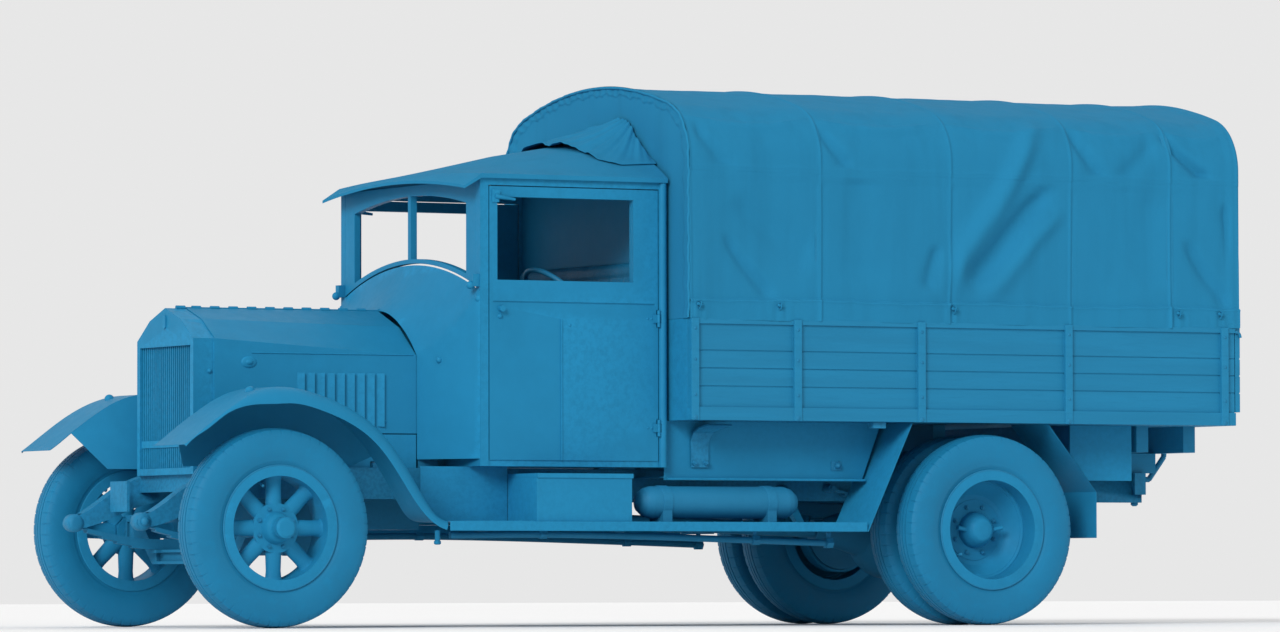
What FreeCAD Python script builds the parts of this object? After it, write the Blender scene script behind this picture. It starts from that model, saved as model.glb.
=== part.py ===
# Canvas-topped flatbed truck of about 1930, at its real size in millimetres.
# X points forward, Y to the truck's left and Z up; the origin is on the ground
# under the middle of the truck.

import math
import os

import FreeCAD
import Part

V = FreeCAD.Vector

# Clearances
SEAT = 0.3
RUNNING = 0.05
MOVE = 5.0

# Wheels and axles
FRONT_X = 2420.0
WHEELBASE = 3856.0
REAR_X = FRONT_X - WHEELBASE
TYRE_R = 470.0
TYRE_WIDTH = 186.0
TREAD_WIDTH = 150.0
BEAD_R = 254.0
FLANGE_R = 296.0
RIM_WIDTH = 150.0
RIM_WALL = 9.0
FRONT_WHEEL_Y = 835.0
REAR_OUTER_Y = 906.0
TWIN_SPACING = 255.0
KINGPIN_Y = 700.0
KINGPIN_R = 14.0
SPINDLE_R = 27.0
REAR_SPINDLE_R = 42.0
AXLE_TUBE_R = 56.0

# Chassis frame
RAIL_Y = 420.0
RAIL_FLANGE = 60.0
RAIL_WALL = 8.0
RAIL_TOP = 765.0
RAIL_HEIGHT = 150.0
RAIL_FRONT = 2300.0
RAIL_REAR = -2670.0
HORN_X = 2911.0
HORN_Z = 500.0
SPRING_WIDTH = 55.0
LEAF_WALL = 10.0
SPRING_OUT = 420.0
SPRING_IN = SPRING_OUT - SPRING_WIDTH
CHEEK = 9.5
PIN_R = 12.0
FRONT_EYE_HALF = HORN_X - FRONT_X
FRONT_CAMBER = 75.0
FRONT_LEAVES = 5
FRONT_SPRING_TOP = HORN_Z - FRONT_CAMBER
REAR_EYE_HALF = 620.0
REAR_CAMBER = 70.0
REAR_LEAVES = 7
REAR_SPRING_IN = RAIL_Y + 6.0
REAR_SPRING_OUT = REAR_SPRING_IN + 60.0
SPRING_PAD = 12.0
REAR_SPRING_TOP = TYRE_R + AXLE_TUBE_R + SPRING_PAD + REAR_LEAVES * LEAF_WALL
REAR_EYE_Z = REAR_SPRING_TOP + REAR_CAMBER
CROSS_X = (1130.0, 120.0, -900.0, -1900.0)
CROSS_DEPTH = 100.0
NOSE_DEPTH = 80.0
TAIL_PLATE = 6.0
HORN_TOP = ((RAIL_FRONT, RAIL_TOP), (2480.0, 748.0), (2680.0, 668.0), (2830.0, 566.0),
            (HORN_X + 8.0, 526.0))
HORN_UNDER = ((RAIL_FRONT, RAIL_TOP - RAIL_HEIGHT), (2470.0, 606.0), (2640.0, 556.0),
              (2780.0, 500.0), (HORN_X, 474.0))

# Axles, engine and shaft
BEAM_DEPTH = 70.0
BEAM_TOP = FRONT_SPRING_TOP - FRONT_LEAVES * LEAF_WALL
BOSS_R = 38.0
BOSS_HALF = 42.0
KNUCKLE_EAR = 34.0
KNUCKLE_PLATE = 14.0
ARM_LENGTH = 165.0
ARM_IN = 62.0
ARM_WALL = 22.0
TIE_R = 15.0
SPINDLE_TIP = 940.0
REAR_SPINDLE_TIP = 880.0
REAR_FLANGE_Y = 505.0
DRUM_R = 205.0
NOSE_LENGTH = 400.0
ENGINE_ARMS = (1640.0, 2240.0)
ENGINE_ARM = 50.0
GEARBOX_REAR = 1300.0
GEARBOX_HALF = 135.0
GEARBOX_LOW = 470.0
GEARBOX_TOP = 740.0
ENGINE_REAR = 1600.0
ENGINE_FRONT = 2440.0
ENGINE_HALF = 210.0
ENGINE_LOW = 600.0
ENGINE_TOP = 1180.0
SUMP_REAR = 1680.0
SUMP_FRONT = 2200.0
SUMP_HALF = 140.0
SUMP_LOW = 350.0
SHAFT_R = 36.0

# Hubs and discs
SPOKES = 8
HUB_R = 62.0
HUB_FLANGE_R = 118.0
CAP_R = 50.0
CAP_FACE = 985.0
DISC_BORE = 60.0
DISC_WALL = 11.0
DISC_FACE = 798.0
REAR_HUB_R = 90.0
REAR_HUB_FACE = 905.0

# Bonnet, radiator and scuttle
RADIATOR_FRONT = 2594.0
RADIATOR_DEPTH = 104.0
RADIATOR_HALF = 320.0
RADIATOR_BOTTOM = 730.0
RADIATOR_SHOULDER = 1377.0
RADIATOR_RISE = 153.0
RADIATOR_TOP = RADIATOR_SHOULDER + RADIATOR_RISE
BONNET_REAR = 1455.0
BONNET_REAR_HALF = 420.0
BONNET_REAR_SHOULDER = 1306.0
BONNET_REAR_RISE = 231.0
BONNET_REAR_TOP = BONNET_REAR_SHOULDER + BONNET_REAR_RISE
BONNET_WALL = 3.0
BONNET_BOTTOM = 930.0
BONNET_FRONT = RADIATOR_FRONT - RADIATOR_DEPTH - MOVE
BONNET_FRONT_HALF = RADIATOR_HALF + 8.0
BONNET_FRONT_TOP = RADIATOR_TOP + 4.0
BONNET_GAP = MOVE / 2
FOLD_IN = 0.55
FOLD_UP = 0.62
FOLD_WALL = BONNET_WALL * 1.3
RADIATOR_RIM = 32.0
SLAT_DEPTH = 46.0
SLAT_PITCH = 22.0
SLAT_WALL = 7.0
SLAT_BAR = (862.0, 896.0)
BOSS_OVAL = (RADIATOR_TOP - 83, RADIATOR_TOP - 52)
BOSS_OVAL_R = 17.0
BOSS_FACE = 7.0
FOOT_IN = 250.0
LOUVRES = 9
LOUVRE_FRONT = 2050.0
LOUVRE_PITCH = 51.0
LOUVRE_LOW = 965.0
LOUVRE_HIGH = 1215.0
LOUVRE_WALL = 3.0
LOUVRE_OUT = 17.0
LEDGE = 26.0
LEDGE_WALL = 8.0
HINGE_R = 10.0
HINGE_ROD_R = 3.5
HINGE_BORE = HINGE_ROD_R + RUNNING * 2
HINGE_LENGTH = 46.0
HINGE_FIRST = 2430.0
HINGE_PITCH = 98.0
HINGE_LEFT = tuple(HINGE_FIRST - i * HINGE_PITCH for i in (0, 2, 4, 6, 8))
HINGE_RIGHT = tuple(HINGE_FIRST - i * HINGE_PITCH for i in (1, 3, 5, 7, 9))
ROD_TIP = RADIATOR_FRONT - RADIATOR_DEPTH + 14.0
SCUTTLE_WALL = 4.0
SCUTTLE_FOOT = 800.0
SCUTTLE_BEND = 0.62
SCUTTLE_MIDDLE = (590.0, 1420.0, 1625.0)

# Cab
CAB_FRONT = 1285.0
CAB_REAR = 266.0
CAB_HALF = 755.0
CAB_WALL = 45.0
CAB_FLOOR = 800.0
CAB_SILL = 1610.0
CAB_SILL_CROWN = 1760.0
CAB_ROOF_EDGE = 2150.0
CAB_ROOF_FRONT_CROWN = 2175.0
CAB_ROOF_REAR_CROWN = 2400.0
CAB_MIDDLE = 800.0
CAB_MIDDLE_CROWN = 2310.0
ROOF_OVERHANG = 20.0
VISOR_LIP = 14.0
ROOF_WALL = 22.0
DOOR_FRONT = 1235.0
DOOR_REAR = 315.0
DOOR_TOP = 2113.0
WINDOW_FRONT = 1192.0
WINDOW_REAR = 451.0
WINDOW_BOTTOM = 1664.0
WINDOW_TOP = 2063.0
VISOR_X = 1378.0
VISOR_EDGE = 2112.0
VISOR_CROWN = 2165.0
BACK_WALL = 26.0
CLOTH_FRONT = 560.0
CLOTH_LEFT = 430.0
CLOTH_RIGHT = -300.0
CLOTH_BULK = 70.0
MOUNT_X = (420.0, 1200.0)
DOOR_GROOVE = (1555.0, 1562.0)
DOOR_KNOB_Z = 1525.0
DASH_WALL = 16.0
HEADER_LOW = 2005.0
JAMB = 105.0
DOOR_HINGE_Z = (960.0, 1490.0)
DOOR_HINGE_OUT = 8.0
DOOR_HINGE_R = 8.0
DOOR_HINGE_HALF = 20.0
DOOR_HINGE_EAR = 20.0
DOOR_PIN_R = 4.0
WHEEL_CENTRE = (650.0, 370.0, 1580.0)
COLUMN_FOOT = (1400.0, 370.0, 840.0)
WHEEL_HUB = 24.0
WHEEL_RIM_R = 215.0
COLUMN_R = 20.0
COLUMN_SPAN = V(*WHEEL_CENTRE) - V(*COLUMN_FOOT)
COLUMN_TOP = tuple(V(*WHEEL_CENTRE) - COLUMN_SPAN * (WHEEL_HUB / COLUMN_SPAN.Length))
SEAT_ASIDE = 105.0
SEAT_HALF = CAB_HALF - SEAT_ASIDE
SEAT_BOX_REAR = 360.0
SEAT_BOX_FRONT = 800.0
SEAT_BOX_TOP = 1080.0
SEAT_TOP = 1230.0
SEAT_BACK_TOP = 1790.0

# Load bed and tilt
BED_FRONT = 250.0
BED_REAR = -2884.0
BED_HALF = 957.0
BED_BOTTOM = 997.0
BED_FLOOR = 1057.0
BED_TOP = 1489.0
BOARD_WALL = 28.0
POST_HALF = 21.0
POST_OUT = 18.0
POST_X = (BED_FRONT - POST_HALF, -343.0, -1044.0, -1894.0, -2817.0)
HOOP_X = (234.0, -469.0, -1208.0, -1910.0, -2500.0, -2880.0)
TILT_ASIDE = 5.0
TILT_HALF = BED_HALF + TILT_ASIDE
TILT_TOP = 2659.0
TILT_WALL = 4.0
TILT_HEM = BED_TOP + SEAT
TILT_HEM_REAR = 1512.0
TILT_CROWN_R = 2560.0
TILT_SHOULDER_R = 280.0
TILT_FRONT = 260.0
TILT_REAR = -2907.0
HOOP_WALL = 12.0
HOOP_WIDTH = 40.0
BATTEN_LOW = 2180.0
BATTEN_WIDTH = 46.0
ROLL_R = 45.0
ROLL_Z = 2330.0
BED_RUNNER = 100.0
FLOOR_RISE = 3.0
BEARER_X = (120.0, -420.0, -800.0, REAR_X, -2100.0, -2500.0, -2780.0)
BEARER_HALF = 695.0
BEARER_SHORT = 480.0
GATE_PIN_X = BED_REAR - 38.0
GATE_PIN_Z = 1040.0
GATE_PIN_Y = (-700.0, 0.0, 700.0)
GATE_PIN_R = 8.0
GATE_EAR_R = 13.0
GATE_LOW = BED_FLOOR + 8.0
PLANK_LINES = (1161.0, 1248.0, 1334.0)

# Wings and running boards
WING_INNER = 600.0
WING_OUTER = 950.0
WING_WALL = 3.0
BOARD_TOP = 505.0
BOARD_EDGE = 46.0
BOARD_FRONT = 1545.0
BOARD_REAR = -745.0
BOARD_INNER = 620.0
BOARD_SHEET = 4.0
WING_CROWN = ((2930.0, 858.0), (2818.0, 941.0), (2689.0, 1032.0), (2560.0, 1103.0),
              (2440.0, 1132.0), (2330.0, 1128.0), (2181.0, 1091.0), (1919.0, 957.0),
              (1787.0, 815.0), (1681.0, 652.0), (1600.0, 540.0),
              (BOARD_FRONT, BOARD_TOP + SEAT))
WING_STATIONS = 14
ROLL_FRONT = 12.0
ROLL_WHEEL = 78.0
ROLL_START = 2730.0
ROLL_SPAN = 260.0
ROLL_FALL = 1720.0
VALANCE_EDGE = 430.0
VALANCE_FRONT = 2700.0
VALANCE_REAR = 1830.0
APRON_LOW = 720.0
SKIRT_Y = 715.0
SKIRT_REAR = BOARD_REAR - 210.0
BRACKET_X = (1300.0, 480.0, -560.0)
TREAD_FRONT = 1430.0
TREAD_RISE = 3.0
LOCKER_FRONT = 1070.0
LOCKER_REAR = 553.0
LOCKER_TOP = 735.0
LOCKER_LID = 22.0
TANK_FRONT = 470.0
TANK_REAR = -430.0
TANK_R = 78.0
TANK_Y = 800.0
TANK_Z = 600.0
GUARD_INNER = 600.0
GUARD_OUTER = BED_HALF - 2
GUARD_WALL = 4.0
GUARD_HEADS = (-1000.0, -1780.0)
GUARD_REAR = -2060.0
GUARD_BEND = 660.0
GUARD_FOOT = 431.0
GUARD_TAIL = -2430.0
GUARD_PLATE = 700.0
HOOK_Y = 300.0
HOOK_R = 14.0


def box(x0, x1, y0, y1, z0, z1):
    """A block between two corners given as ranges."""
    return Part.makeBox(x1 - x0, y1 - y0, z1 - z0, V(x0, y0, z0))


def rod(start, end, radius):
    """A round bar from one point to another."""
    a = V(*start)
    b = V(*end)
    return Part.makeCylinder(radius, (b - a).Length, a, b - a)


def cone(start, end, r_start, r_end):
    """A tapered round bar from one point to another."""
    a = V(*start)
    b = V(*end)
    return Part.makeCone(r_start, r_end, (b - a).Length, a, b - a)


def face_of(points):
    """A flat face with straight edges through the points."""
    corners = [V(*p) for p in points]
    return Part.Face(Part.makePolygon(corners + [corners[0]]))


def prism_y(points, y0, y1):
    """An outline in the XZ plane, drawn out along Y."""
    face = face_of([(x, y0, z) for x, z in points])
    return face.extrude(V(0, y1 - y0, 0))


def prism_x(points, x0, x1):
    """An outline in the YZ plane, drawn out along X."""
    face = face_of([(x0, y, z) for y, z in points])
    return face.extrude(V(x1 - x0, 0, 0))


def prism_z(points, z0, z1):
    """An outline in the XY plane, drawn out along Z."""
    face = face_of([(x, y, z0) for x, y in points])
    return face.extrude(V(0, 0, z1 - z0))


def fuse(shapes):
    """All the shapes joined to one."""
    shapes = list(shapes)
    if len(shapes) == 1:
        return shapes[0]
    return shapes[0].multiFuse(shapes[1:]).removeSplitter()


def mirror_y(shape):
    """The same shape on the other side of the truck."""
    return shape.mirror(V(0, 0, 0), V(0, 1, 0))


def both_sides(shape):
    """The shape and its mirror image, as one compound."""
    return Part.makeCompound([shape, mirror_y(shape)])


def spline(points):
    """A smooth edge through the points."""
    curve = Part.BSplineCurve()
    curve.interpolate([V(*p) for p in points])
    return curve.toShape()


def offset_curve(points, distance, samples=15):
    """Points beside a smooth XZ curve, at a set distance to its left."""
    curve = Part.BSplineCurve()
    curve.interpolate([V(x, 0, z) for x, z in points])
    first = curve.FirstParameter
    span = curve.LastParameter - first
    result = []
    for i in range(samples):
        u = first + span * i / (samples - 1)
        place = curve.value(u)
        along = curve.tangent(u)[0]
        result.append((place.x - along.z * distance, place.z + along.x * distance))
    return result


def strip(points, wall, y0, y1):
    """A sheet that follows a smooth XZ curve, drawn out along Y."""
    far = offset_curve(points, wall)
    near_edge = spline([(x, y0, z) for x, z in points])
    far_edge = spline([(x, y0, z) for x, z in far])
    start = Part.LineSegment(V(points[0][0], y0, points[0][1]), V(far[0][0], y0, far[0][1]))
    end = Part.LineSegment(V(points[-1][0], y0, points[-1][1]), V(far[-1][0], y0, far[-1][1]))
    wire = Part.Wire([near_edge, end.toShape(), far_edge, start.toShape()])
    return Part.Face(wire).extrude(V(0, y1 - y0, 0))


def turned(profile, x, z):
    """A profile of (radius, y) points turned about a line along Y."""
    points = [V(x, y, z + r) for r, y in profile]
    face = Part.Face(Part.makePolygon(points + [points[0]]))
    return face.revolve(V(x, 0, z), V(0, 1, 0), 360)


def save(name, shape):
    """One sub-part, written to its own file."""
    shape.exportStep(os.path.join("parts", name + ".step"))


# Chassis frame

def rail():
    """One side rail: an open channel, with a forged horn ahead of it."""
    low = RAIL_TOP - RAIL_HEIGHT
    inner = RAIL_Y - RAIL_FLANGE
    web = RAIL_Y - RAIL_WALL
    section = [(RAIL_Y, low), (RAIL_Y, RAIL_TOP), (inner, RAIL_TOP), (inner, RAIL_TOP - RAIL_WALL)]
    section += [(web, RAIL_TOP - RAIL_WALL), (web, low + RAIL_WALL)]
    section += [(inner, low + RAIL_WALL), (inner, low)]
    channel = prism_x(section, RAIL_REAR, RAIL_FRONT)
    y0 = SPRING_IN - CHEEK
    y1 = SPRING_OUT + CHEEK
    top = spline([(x, y0, z) for x, z in HORN_TOP])
    under = spline([(x, y0, z) for x, z in HORN_UNDER])
    ends = []
    for (x_top, z_top), (x_low, z_low) in ((HORN_TOP[0], HORN_UNDER[0]), (HORN_TOP[-1], HORN_UNDER[-1])):
        ends.append(Part.makeLine(V(x_top, y0, z_top), V(x_low, y0, z_low)))
    horn = Part.Face(Part.Wire([top, ends[1], under, ends[0]])).extrude(V(0, y1 - y0, 0))
    horn = horn.fuse(rod((HORN_X, y0, HORN_Z), (HORN_X, y1, HORN_Z), 27.0))
    slot = rod((HORN_X, SPRING_IN - SEAT, HORN_Z - 20), (HORN_X, SPRING_OUT + SEAT, HORN_Z - 20), 84.0)
    horn = horn.cut(slot)
    shackle_x = FRONT_X - FRONT_EYE_HALF
    hanger = box(shackle_x - 22, shackle_x + 22, SPRING_IN + SEAT, SPRING_OUT - SEAT, low - 60, low)
    body = fuse([channel, horn, hanger])
    holes = [rod((HORN_X, y0 - 1, HORN_Z), (HORN_X, y1 + 1, HORN_Z), PIN_R + SEAT)]
    holes.append(rod((shackle_x, y0, low - 36), (shackle_x, y1, low - 36), PIN_R + SEAT))
    for x in (REAR_X + REAR_EYE_HALF, REAR_X - REAR_EYE_HALF):
        z = REAR_EYE_Z if x > REAR_X else REAR_EYE_Z + 50
        holes.append(rod((x, RAIL_Y - 20, z), (x, RAIL_Y + 20, z), PIN_R + SEAT))
    return body.cut(Part.makeCompound(holes))


def frame_rails():
    """Both side rails, with the cross-members that join them."""
    left = rail()
    pieces = [left, mirror_y(left)]
    inner = RAIL_Y - RAIL_WALL
    top = RAIL_TOP - RAIL_WALL
    for x in CROSS_X:
        channel = box(x - 30, x + 30, -inner, inner, top - CROSS_DEPTH, top)
        hollow = box(x - 22, x + 31, -inner, inner, top - CROSS_DEPTH + 8, top - 8)
        pieces.append(channel.cut(hollow))
    nose = RADIATOR_FRONT - 60
    low = RADIATOR_BOTTOM - NOSE_DEPTH
    pieces.append(box(nose - 30, nose + 30, -SPRING_IN - 2, SPRING_IN + 2, low, RADIATOR_BOTTOM))
    half = RAIL_Y + 30
    tail = box(RAIL_REAR - TAIL_PLATE, RAIL_REAR + 60, -half, half, RAIL_TOP - 110, RAIL_TOP)
    pieces.append(tail)
    return fuse(pieces)


def leaf(x, z_top, half, radius, y0, y1, wall):
    """One curved leaf, its middle lowest, cut from a ring about a line above."""
    centre = z_top + radius
    ring = rod((x, y0, centre), (x, y1, centre), radius + wall)
    ring = ring.cut(rod((x, y0 - 1, centre), (x, y1 + 1, centre), radius))
    return ring.common(box(x - half, x + half, y0, y1, z_top - wall - 1, z_top + half * 0.5))


def leaf_spring(x, z_top, eye_half, camber, y0, y1, count):
    """A stack of leaves, each shorter than the one above, with rolled eyes."""
    radius = (eye_half ** 2 + camber ** 2) / (2 * camber)
    pieces = []
    for i in range(count):
        half = eye_half * (1 - 0.8 * i / count)
        drop = i * LEAF_WALL
        pieces.append(leaf(x, z_top - drop, half, radius + drop, y0, y1, LEAF_WALL))
    z_eye = z_top + camber
    for side in (-1, 1):
        eye = x + side * eye_half
        pieces.append(rod((eye, y0, z_eye), (eye, y1, z_eye), PIN_R + 10))
    return fuse(pieces)


def front_springs():
    """The two front leaf springs, with their pins and shackles."""
    form = (FRONT_EYE_HALF, FRONT_CAMBER, SPRING_IN, SPRING_OUT, FRONT_LEAVES)
    spring = leaf_spring(FRONT_X, FRONT_SPRING_TOP, *form)
    y0 = SPRING_IN - CHEEK
    y1 = SPRING_OUT + CHEEK
    pieces = [spring, rod((HORN_X, y0 - 8, HORN_Z), (HORN_X, y1 + 8, HORN_Z), PIN_R)]
    x = FRONT_X - FRONT_EYE_HALF
    upper = RAIL_TOP - RAIL_HEIGHT - 36
    for a, b in ((y0, SPRING_IN - SEAT / 2), (SPRING_OUT + SEAT / 2, y1)):
        link = box(x - 16, x + 16, a, b, HORN_Z, upper)
        link = link.fuse(rod((x, a, HORN_Z), (x, b, HORN_Z), 20.0))
        pieces.append(link.fuse(rod((x, a, upper), (x, b, upper), 20.0)))
    pieces.append(rod((x, y0 - 6, HORN_Z), (x, y1 + 6, HORN_Z), PIN_R))
    pieces.append(rod((x, y0 - 6, upper), (x, y1 + 6, upper), PIN_R))
    return both_sides(fuse(pieces))


def rear_springs():
    """The two rear leaf springs, outboard of the rails, with pins and shackles."""
    y0 = REAR_SPRING_IN
    y1 = REAR_SPRING_OUT
    spring = leaf_spring(REAR_X, REAR_SPRING_TOP, REAR_EYE_HALF, REAR_CAMBER, y0, y1, REAR_LEAVES)
    front = REAR_X + REAR_EYE_HALF
    rear = REAR_X - REAR_EYE_HALF
    upper = REAR_EYE_Z + 50
    pieces = [spring, rod((front, RAIL_Y - 14, REAR_EYE_Z), (front, y1 + 9, REAR_EYE_Z), PIN_R)]
    pieces.append(rod((rear, y0, REAR_EYE_Z), (rear, y1 + 9, REAR_EYE_Z), PIN_R))
    pieces.append(rod((rear, RAIL_Y - 14, upper), (rear, y1 + 9, upper), PIN_R))
    link = box(rear - 16, rear + 16, y1, y1 + 8, REAR_EYE_Z, upper)
    link = link.fuse(rod((rear, y1, REAR_EYE_Z), (rear, y1 + 8, REAR_EYE_Z), 22.0))
    pieces.append(link.fuse(rod((rear, y1, upper), (rear, y1 + 8, upper), 22.0)))
    return both_sides(fuse(pieces))


# Axles

def front_axle_beam():
    """The forged front beam, dropped between its kingpin bosses."""
    rise = KINGPIN_Y - 130
    seat = SPRING_OUT + 20
    boss_low = TYRE_R - BOSS_HALF
    boss_top = TYRE_R + BOSS_HALF
    left = [(seat, BEAM_TOP), (rise, boss_top - 14), (KINGPIN_Y, boss_top - 4)]
    left += [(KINGPIN_Y, boss_low + 4), (rise + 24, boss_low - 4), (seat + 22, BEAM_TOP - BEAM_DEPTH)]
    right = [(-y, z) for y, z in reversed(left)]
    beam = prism_x(left + right, FRONT_X - 30, FRONT_X + 30)
    for side in (-1, 1):
        y = side * KINGPIN_Y
        beam = beam.fuse(rod((FRONT_X, y, boss_low), (FRONT_X, y, boss_top), BOSS_R))
    web = box(FRONT_X - 31, FRONT_X - 9, -seat + 30, seat - 30, BEAM_TOP - BEAM_DEPTH + 14, BEAM_TOP - 14)
    beam = beam.cut(web).cut(web.mirror(V(FRONT_X, 0, 0), V(1, 0, 0)))
    for side in (-1, 1):
        y = side * (SPRING_IN + SPRING_OUT) / 2
        pad = box(FRONT_X - 60, FRONT_X + 60, y - 40, y + 40, BEAM_TOP - 16, BEAM_TOP)
        beam = beam.fuse(pad)
    for side in (-1, 1):
        y = side * KINGPIN_Y
        beam = beam.cut(rod((FRONT_X, y, 300), (FRONT_X, y, 640), KINGPIN_R + RUNNING))
    return beam.removeSplitter()


def knuckle():
    """The left steering knuckle: a fork round the boss, spindle and track arm."""
    low = TYRE_R - BOSS_HALF
    top = TYRE_R + BOSS_HALF
    y = KINGPIN_Y
    pieces = [rod((FRONT_X, y, top + 1), (FRONT_X, y, top + KNUCKLE_EAR), BOSS_R)]
    pieces.append(rod((FRONT_X, y, low - KNUCKLE_EAR), (FRONT_X, y, low - 1), BOSS_R))
    pieces.append(rod((FRONT_X, y, low - KNUCKLE_EAR - 4), (FRONT_X, y, top + KNUCKLE_EAR + 6), KINGPIN_R))
    wall = y + BOSS_R + MOVE
    ends = (low - KNUCKLE_EAR, top + KNUCKLE_EAR)
    pieces.append(box(FRONT_X - 36, FRONT_X + 36, wall, wall + KNUCKLE_PLATE, *ends))
    for z0, z1 in ((low - KNUCKLE_EAR, low - 1), (top + 1, top + KNUCKLE_EAR)):
        pieces.append(box(FRONT_X - 36, FRONT_X + 36, y, wall + 2, z0, z1))
    pieces.append(cone((FRONT_X, wall + 10, TYRE_R), (FRONT_X, wall + 40, TYRE_R), 38.0, SPINDLE_R))
    pieces.append(rod((FRONT_X, wall + 10, TYRE_R), (FRONT_X, SPINDLE_TIP, TYRE_R), SPINDLE_R))
    z0 = low - KNUCKLE_EAR
    end = FRONT_X - ARM_LENGTH
    arm = [(FRONT_X - 10, y - 18), (FRONT_X - 10, y + 26), (FRONT_X - 60, y + 14)]
    arm += [(end, y - ARM_IN + 20), (end, y - ARM_IN - 20), (FRONT_X - 60, y - 30)]
    pieces.append(prism_z(arm, z0, z0 + ARM_WALL))
    pieces.append(rod((end, y - ARM_IN, z0), (end, y - ARM_IN, z0 + ARM_WALL), 24.0))
    return fuse(pieces)


def track_rod():
    """The bar that ties both track arms, its ends seated under them."""
    y = KINGPIN_Y - ARM_IN
    x = FRONT_X - ARM_LENGTH
    z = TYRE_R - BOSS_HALF - KNUCKLE_EAR
    pieces = [rod((x, -y + 20, z - 36), (x, y - 20, z - 36), TIE_R)]
    for side in (-1, 1):
        pieces.append(rod((x, side * y, z - 53), (x, side * y, z - SEAT), 22.0))
    return fuse(pieces)


def rear_axle():
    """The rear axle casing, with its differential and wheel spindles."""
    bulge = [(0, -170), (120, -160), (200, -112), (240, -45), (240, 45), (200, 112), (120, 160), (0, 170)]
    pieces = [turned(bulge, REAR_X, TYRE_R)]
    for half, radius in ((REAR_FLANGE_Y, AXLE_TUBE_R), (REAR_SPINDLE_TIP, REAR_SPINDLE_R)):
        pieces.append(rod((REAR_X, -half, TYRE_R), (REAR_X, half, TYRE_R), radius))
    pieces.append(cone((REAR_X + 120, 0, TYRE_R), (REAR_X + NOSE_LENGTH, 0, TYRE_R), 150.0, 62.0))
    for side in (-1, 1):
        y = side * (REAR_SPRING_IN + REAR_SPRING_OUT) / 2
        pad_top = TYRE_R + AXLE_TUBE_R + SPRING_PAD
        pieces.append(box(REAR_X - 70, REAR_X + 70, y - 32, y + 32, TYRE_R + 20, pad_top))
        start = (REAR_X, side * (REAR_FLANGE_Y - 8), TYRE_R)
        pieces.append(rod(start, (REAR_X, side * REAR_FLANGE_Y, TYRE_R), DRUM_R - 14))
    return fuse(pieces)


def engine_block():
    """The closed engine and gearbox as plain masses, on their bearer arms."""
    pieces = [box(ENGINE_REAR, ENGINE_FRONT, -ENGINE_HALF, ENGINE_HALF, ENGINE_LOW, ENGINE_TOP)]
    pieces.append(box(SUMP_REAR, SUMP_FRONT, -SUMP_HALF, SUMP_HALF, SUMP_LOW, ENGINE_LOW))
    half = GEARBOX_HALF
    pieces.append(box(GEARBOX_REAR, ENGINE_REAR, -half, half, GEARBOX_LOW, GEARBOX_TOP))
    for x in ENGINE_ARMS:
        pieces.append(box(x, x + ENGINE_ARM, -RAIL_Y, RAIL_Y, RAIL_TOP, RAIL_TOP + 24))
    return fuse(pieces)


def propeller_shaft():
    """The open shaft from gearbox to rear axle, with its joints and bearing."""
    front = V(GEARBOX_REAR - SEAT, 0, 560)
    back = V(REAR_X + NOSE_LENGTH + SEAT, 0, TYRE_R)
    span = back - front
    middle = front + span * 0.5
    pieces = [Part.makeCylinder(SHAFT_R, span.Length - 8, front + span * (4 / span.Length), span)]
    for t in (0.0, 0.5, 1.0):
        spot = front + span * t
        shift = 60 * (0.5 - t)
        x = spot.x - shift
        z = spot.z - shift * span.z / abs(span.x)
        pieces.append(rod((x - 29, 0, z), (x + 29, 0, z), 58.0))
    top = RAIL_TOP - RAIL_WALL - CROSS_DEPTH
    pieces.append(box(middle.x - 24, middle.x + 24, -30, 30, middle.z, top))
    return fuse(pieces)


# Wheels and tyres

def rim_profile(y):
    """The section of a rim: a flat seat with a turned-up flange at each edge."""
    half = RIM_WIDTH / 2
    seat = BEAD_R - SEAT
    inner = seat - RIM_WALL
    edge = half + 8
    outline = [(inner, y - half - 8), (FLANGE_R - 6, y - edge), (FLANGE_R, y - edge + 4)]
    outline += [(FLANGE_R - 4, y - half), (seat, y - half), (seat, y + half), (FLANGE_R - 4, y + half)]
    outline += [(FLANGE_R, y + edge - 4), (FLANGE_R - 6, y + edge), (inner, y + half + 8)]
    outline += [(inner, y + half), (inner, y - half)]
    return outline


def tyre(x, y):
    """One tyre: a round-shouldered ring seated between the rim's flanges."""
    half = RIM_WIDTH / 2 - SEAT
    side = TYRE_WIDTH / 2
    tread = TREAD_WIDTH / 2
    outline = [(BEAD_R, half), (FLANGE_R + 2, half), (330, side - 6), (372, side), (412, side - 3)]
    outline += [(446, tread + 8), (TYRE_R - 6, tread - 4), (TYRE_R, tread - 26)]
    outline += [(r, -w) for r, w in reversed(outline)]
    return turned([(r, y + w) for r, w in outline], x, TYRE_R)


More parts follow.
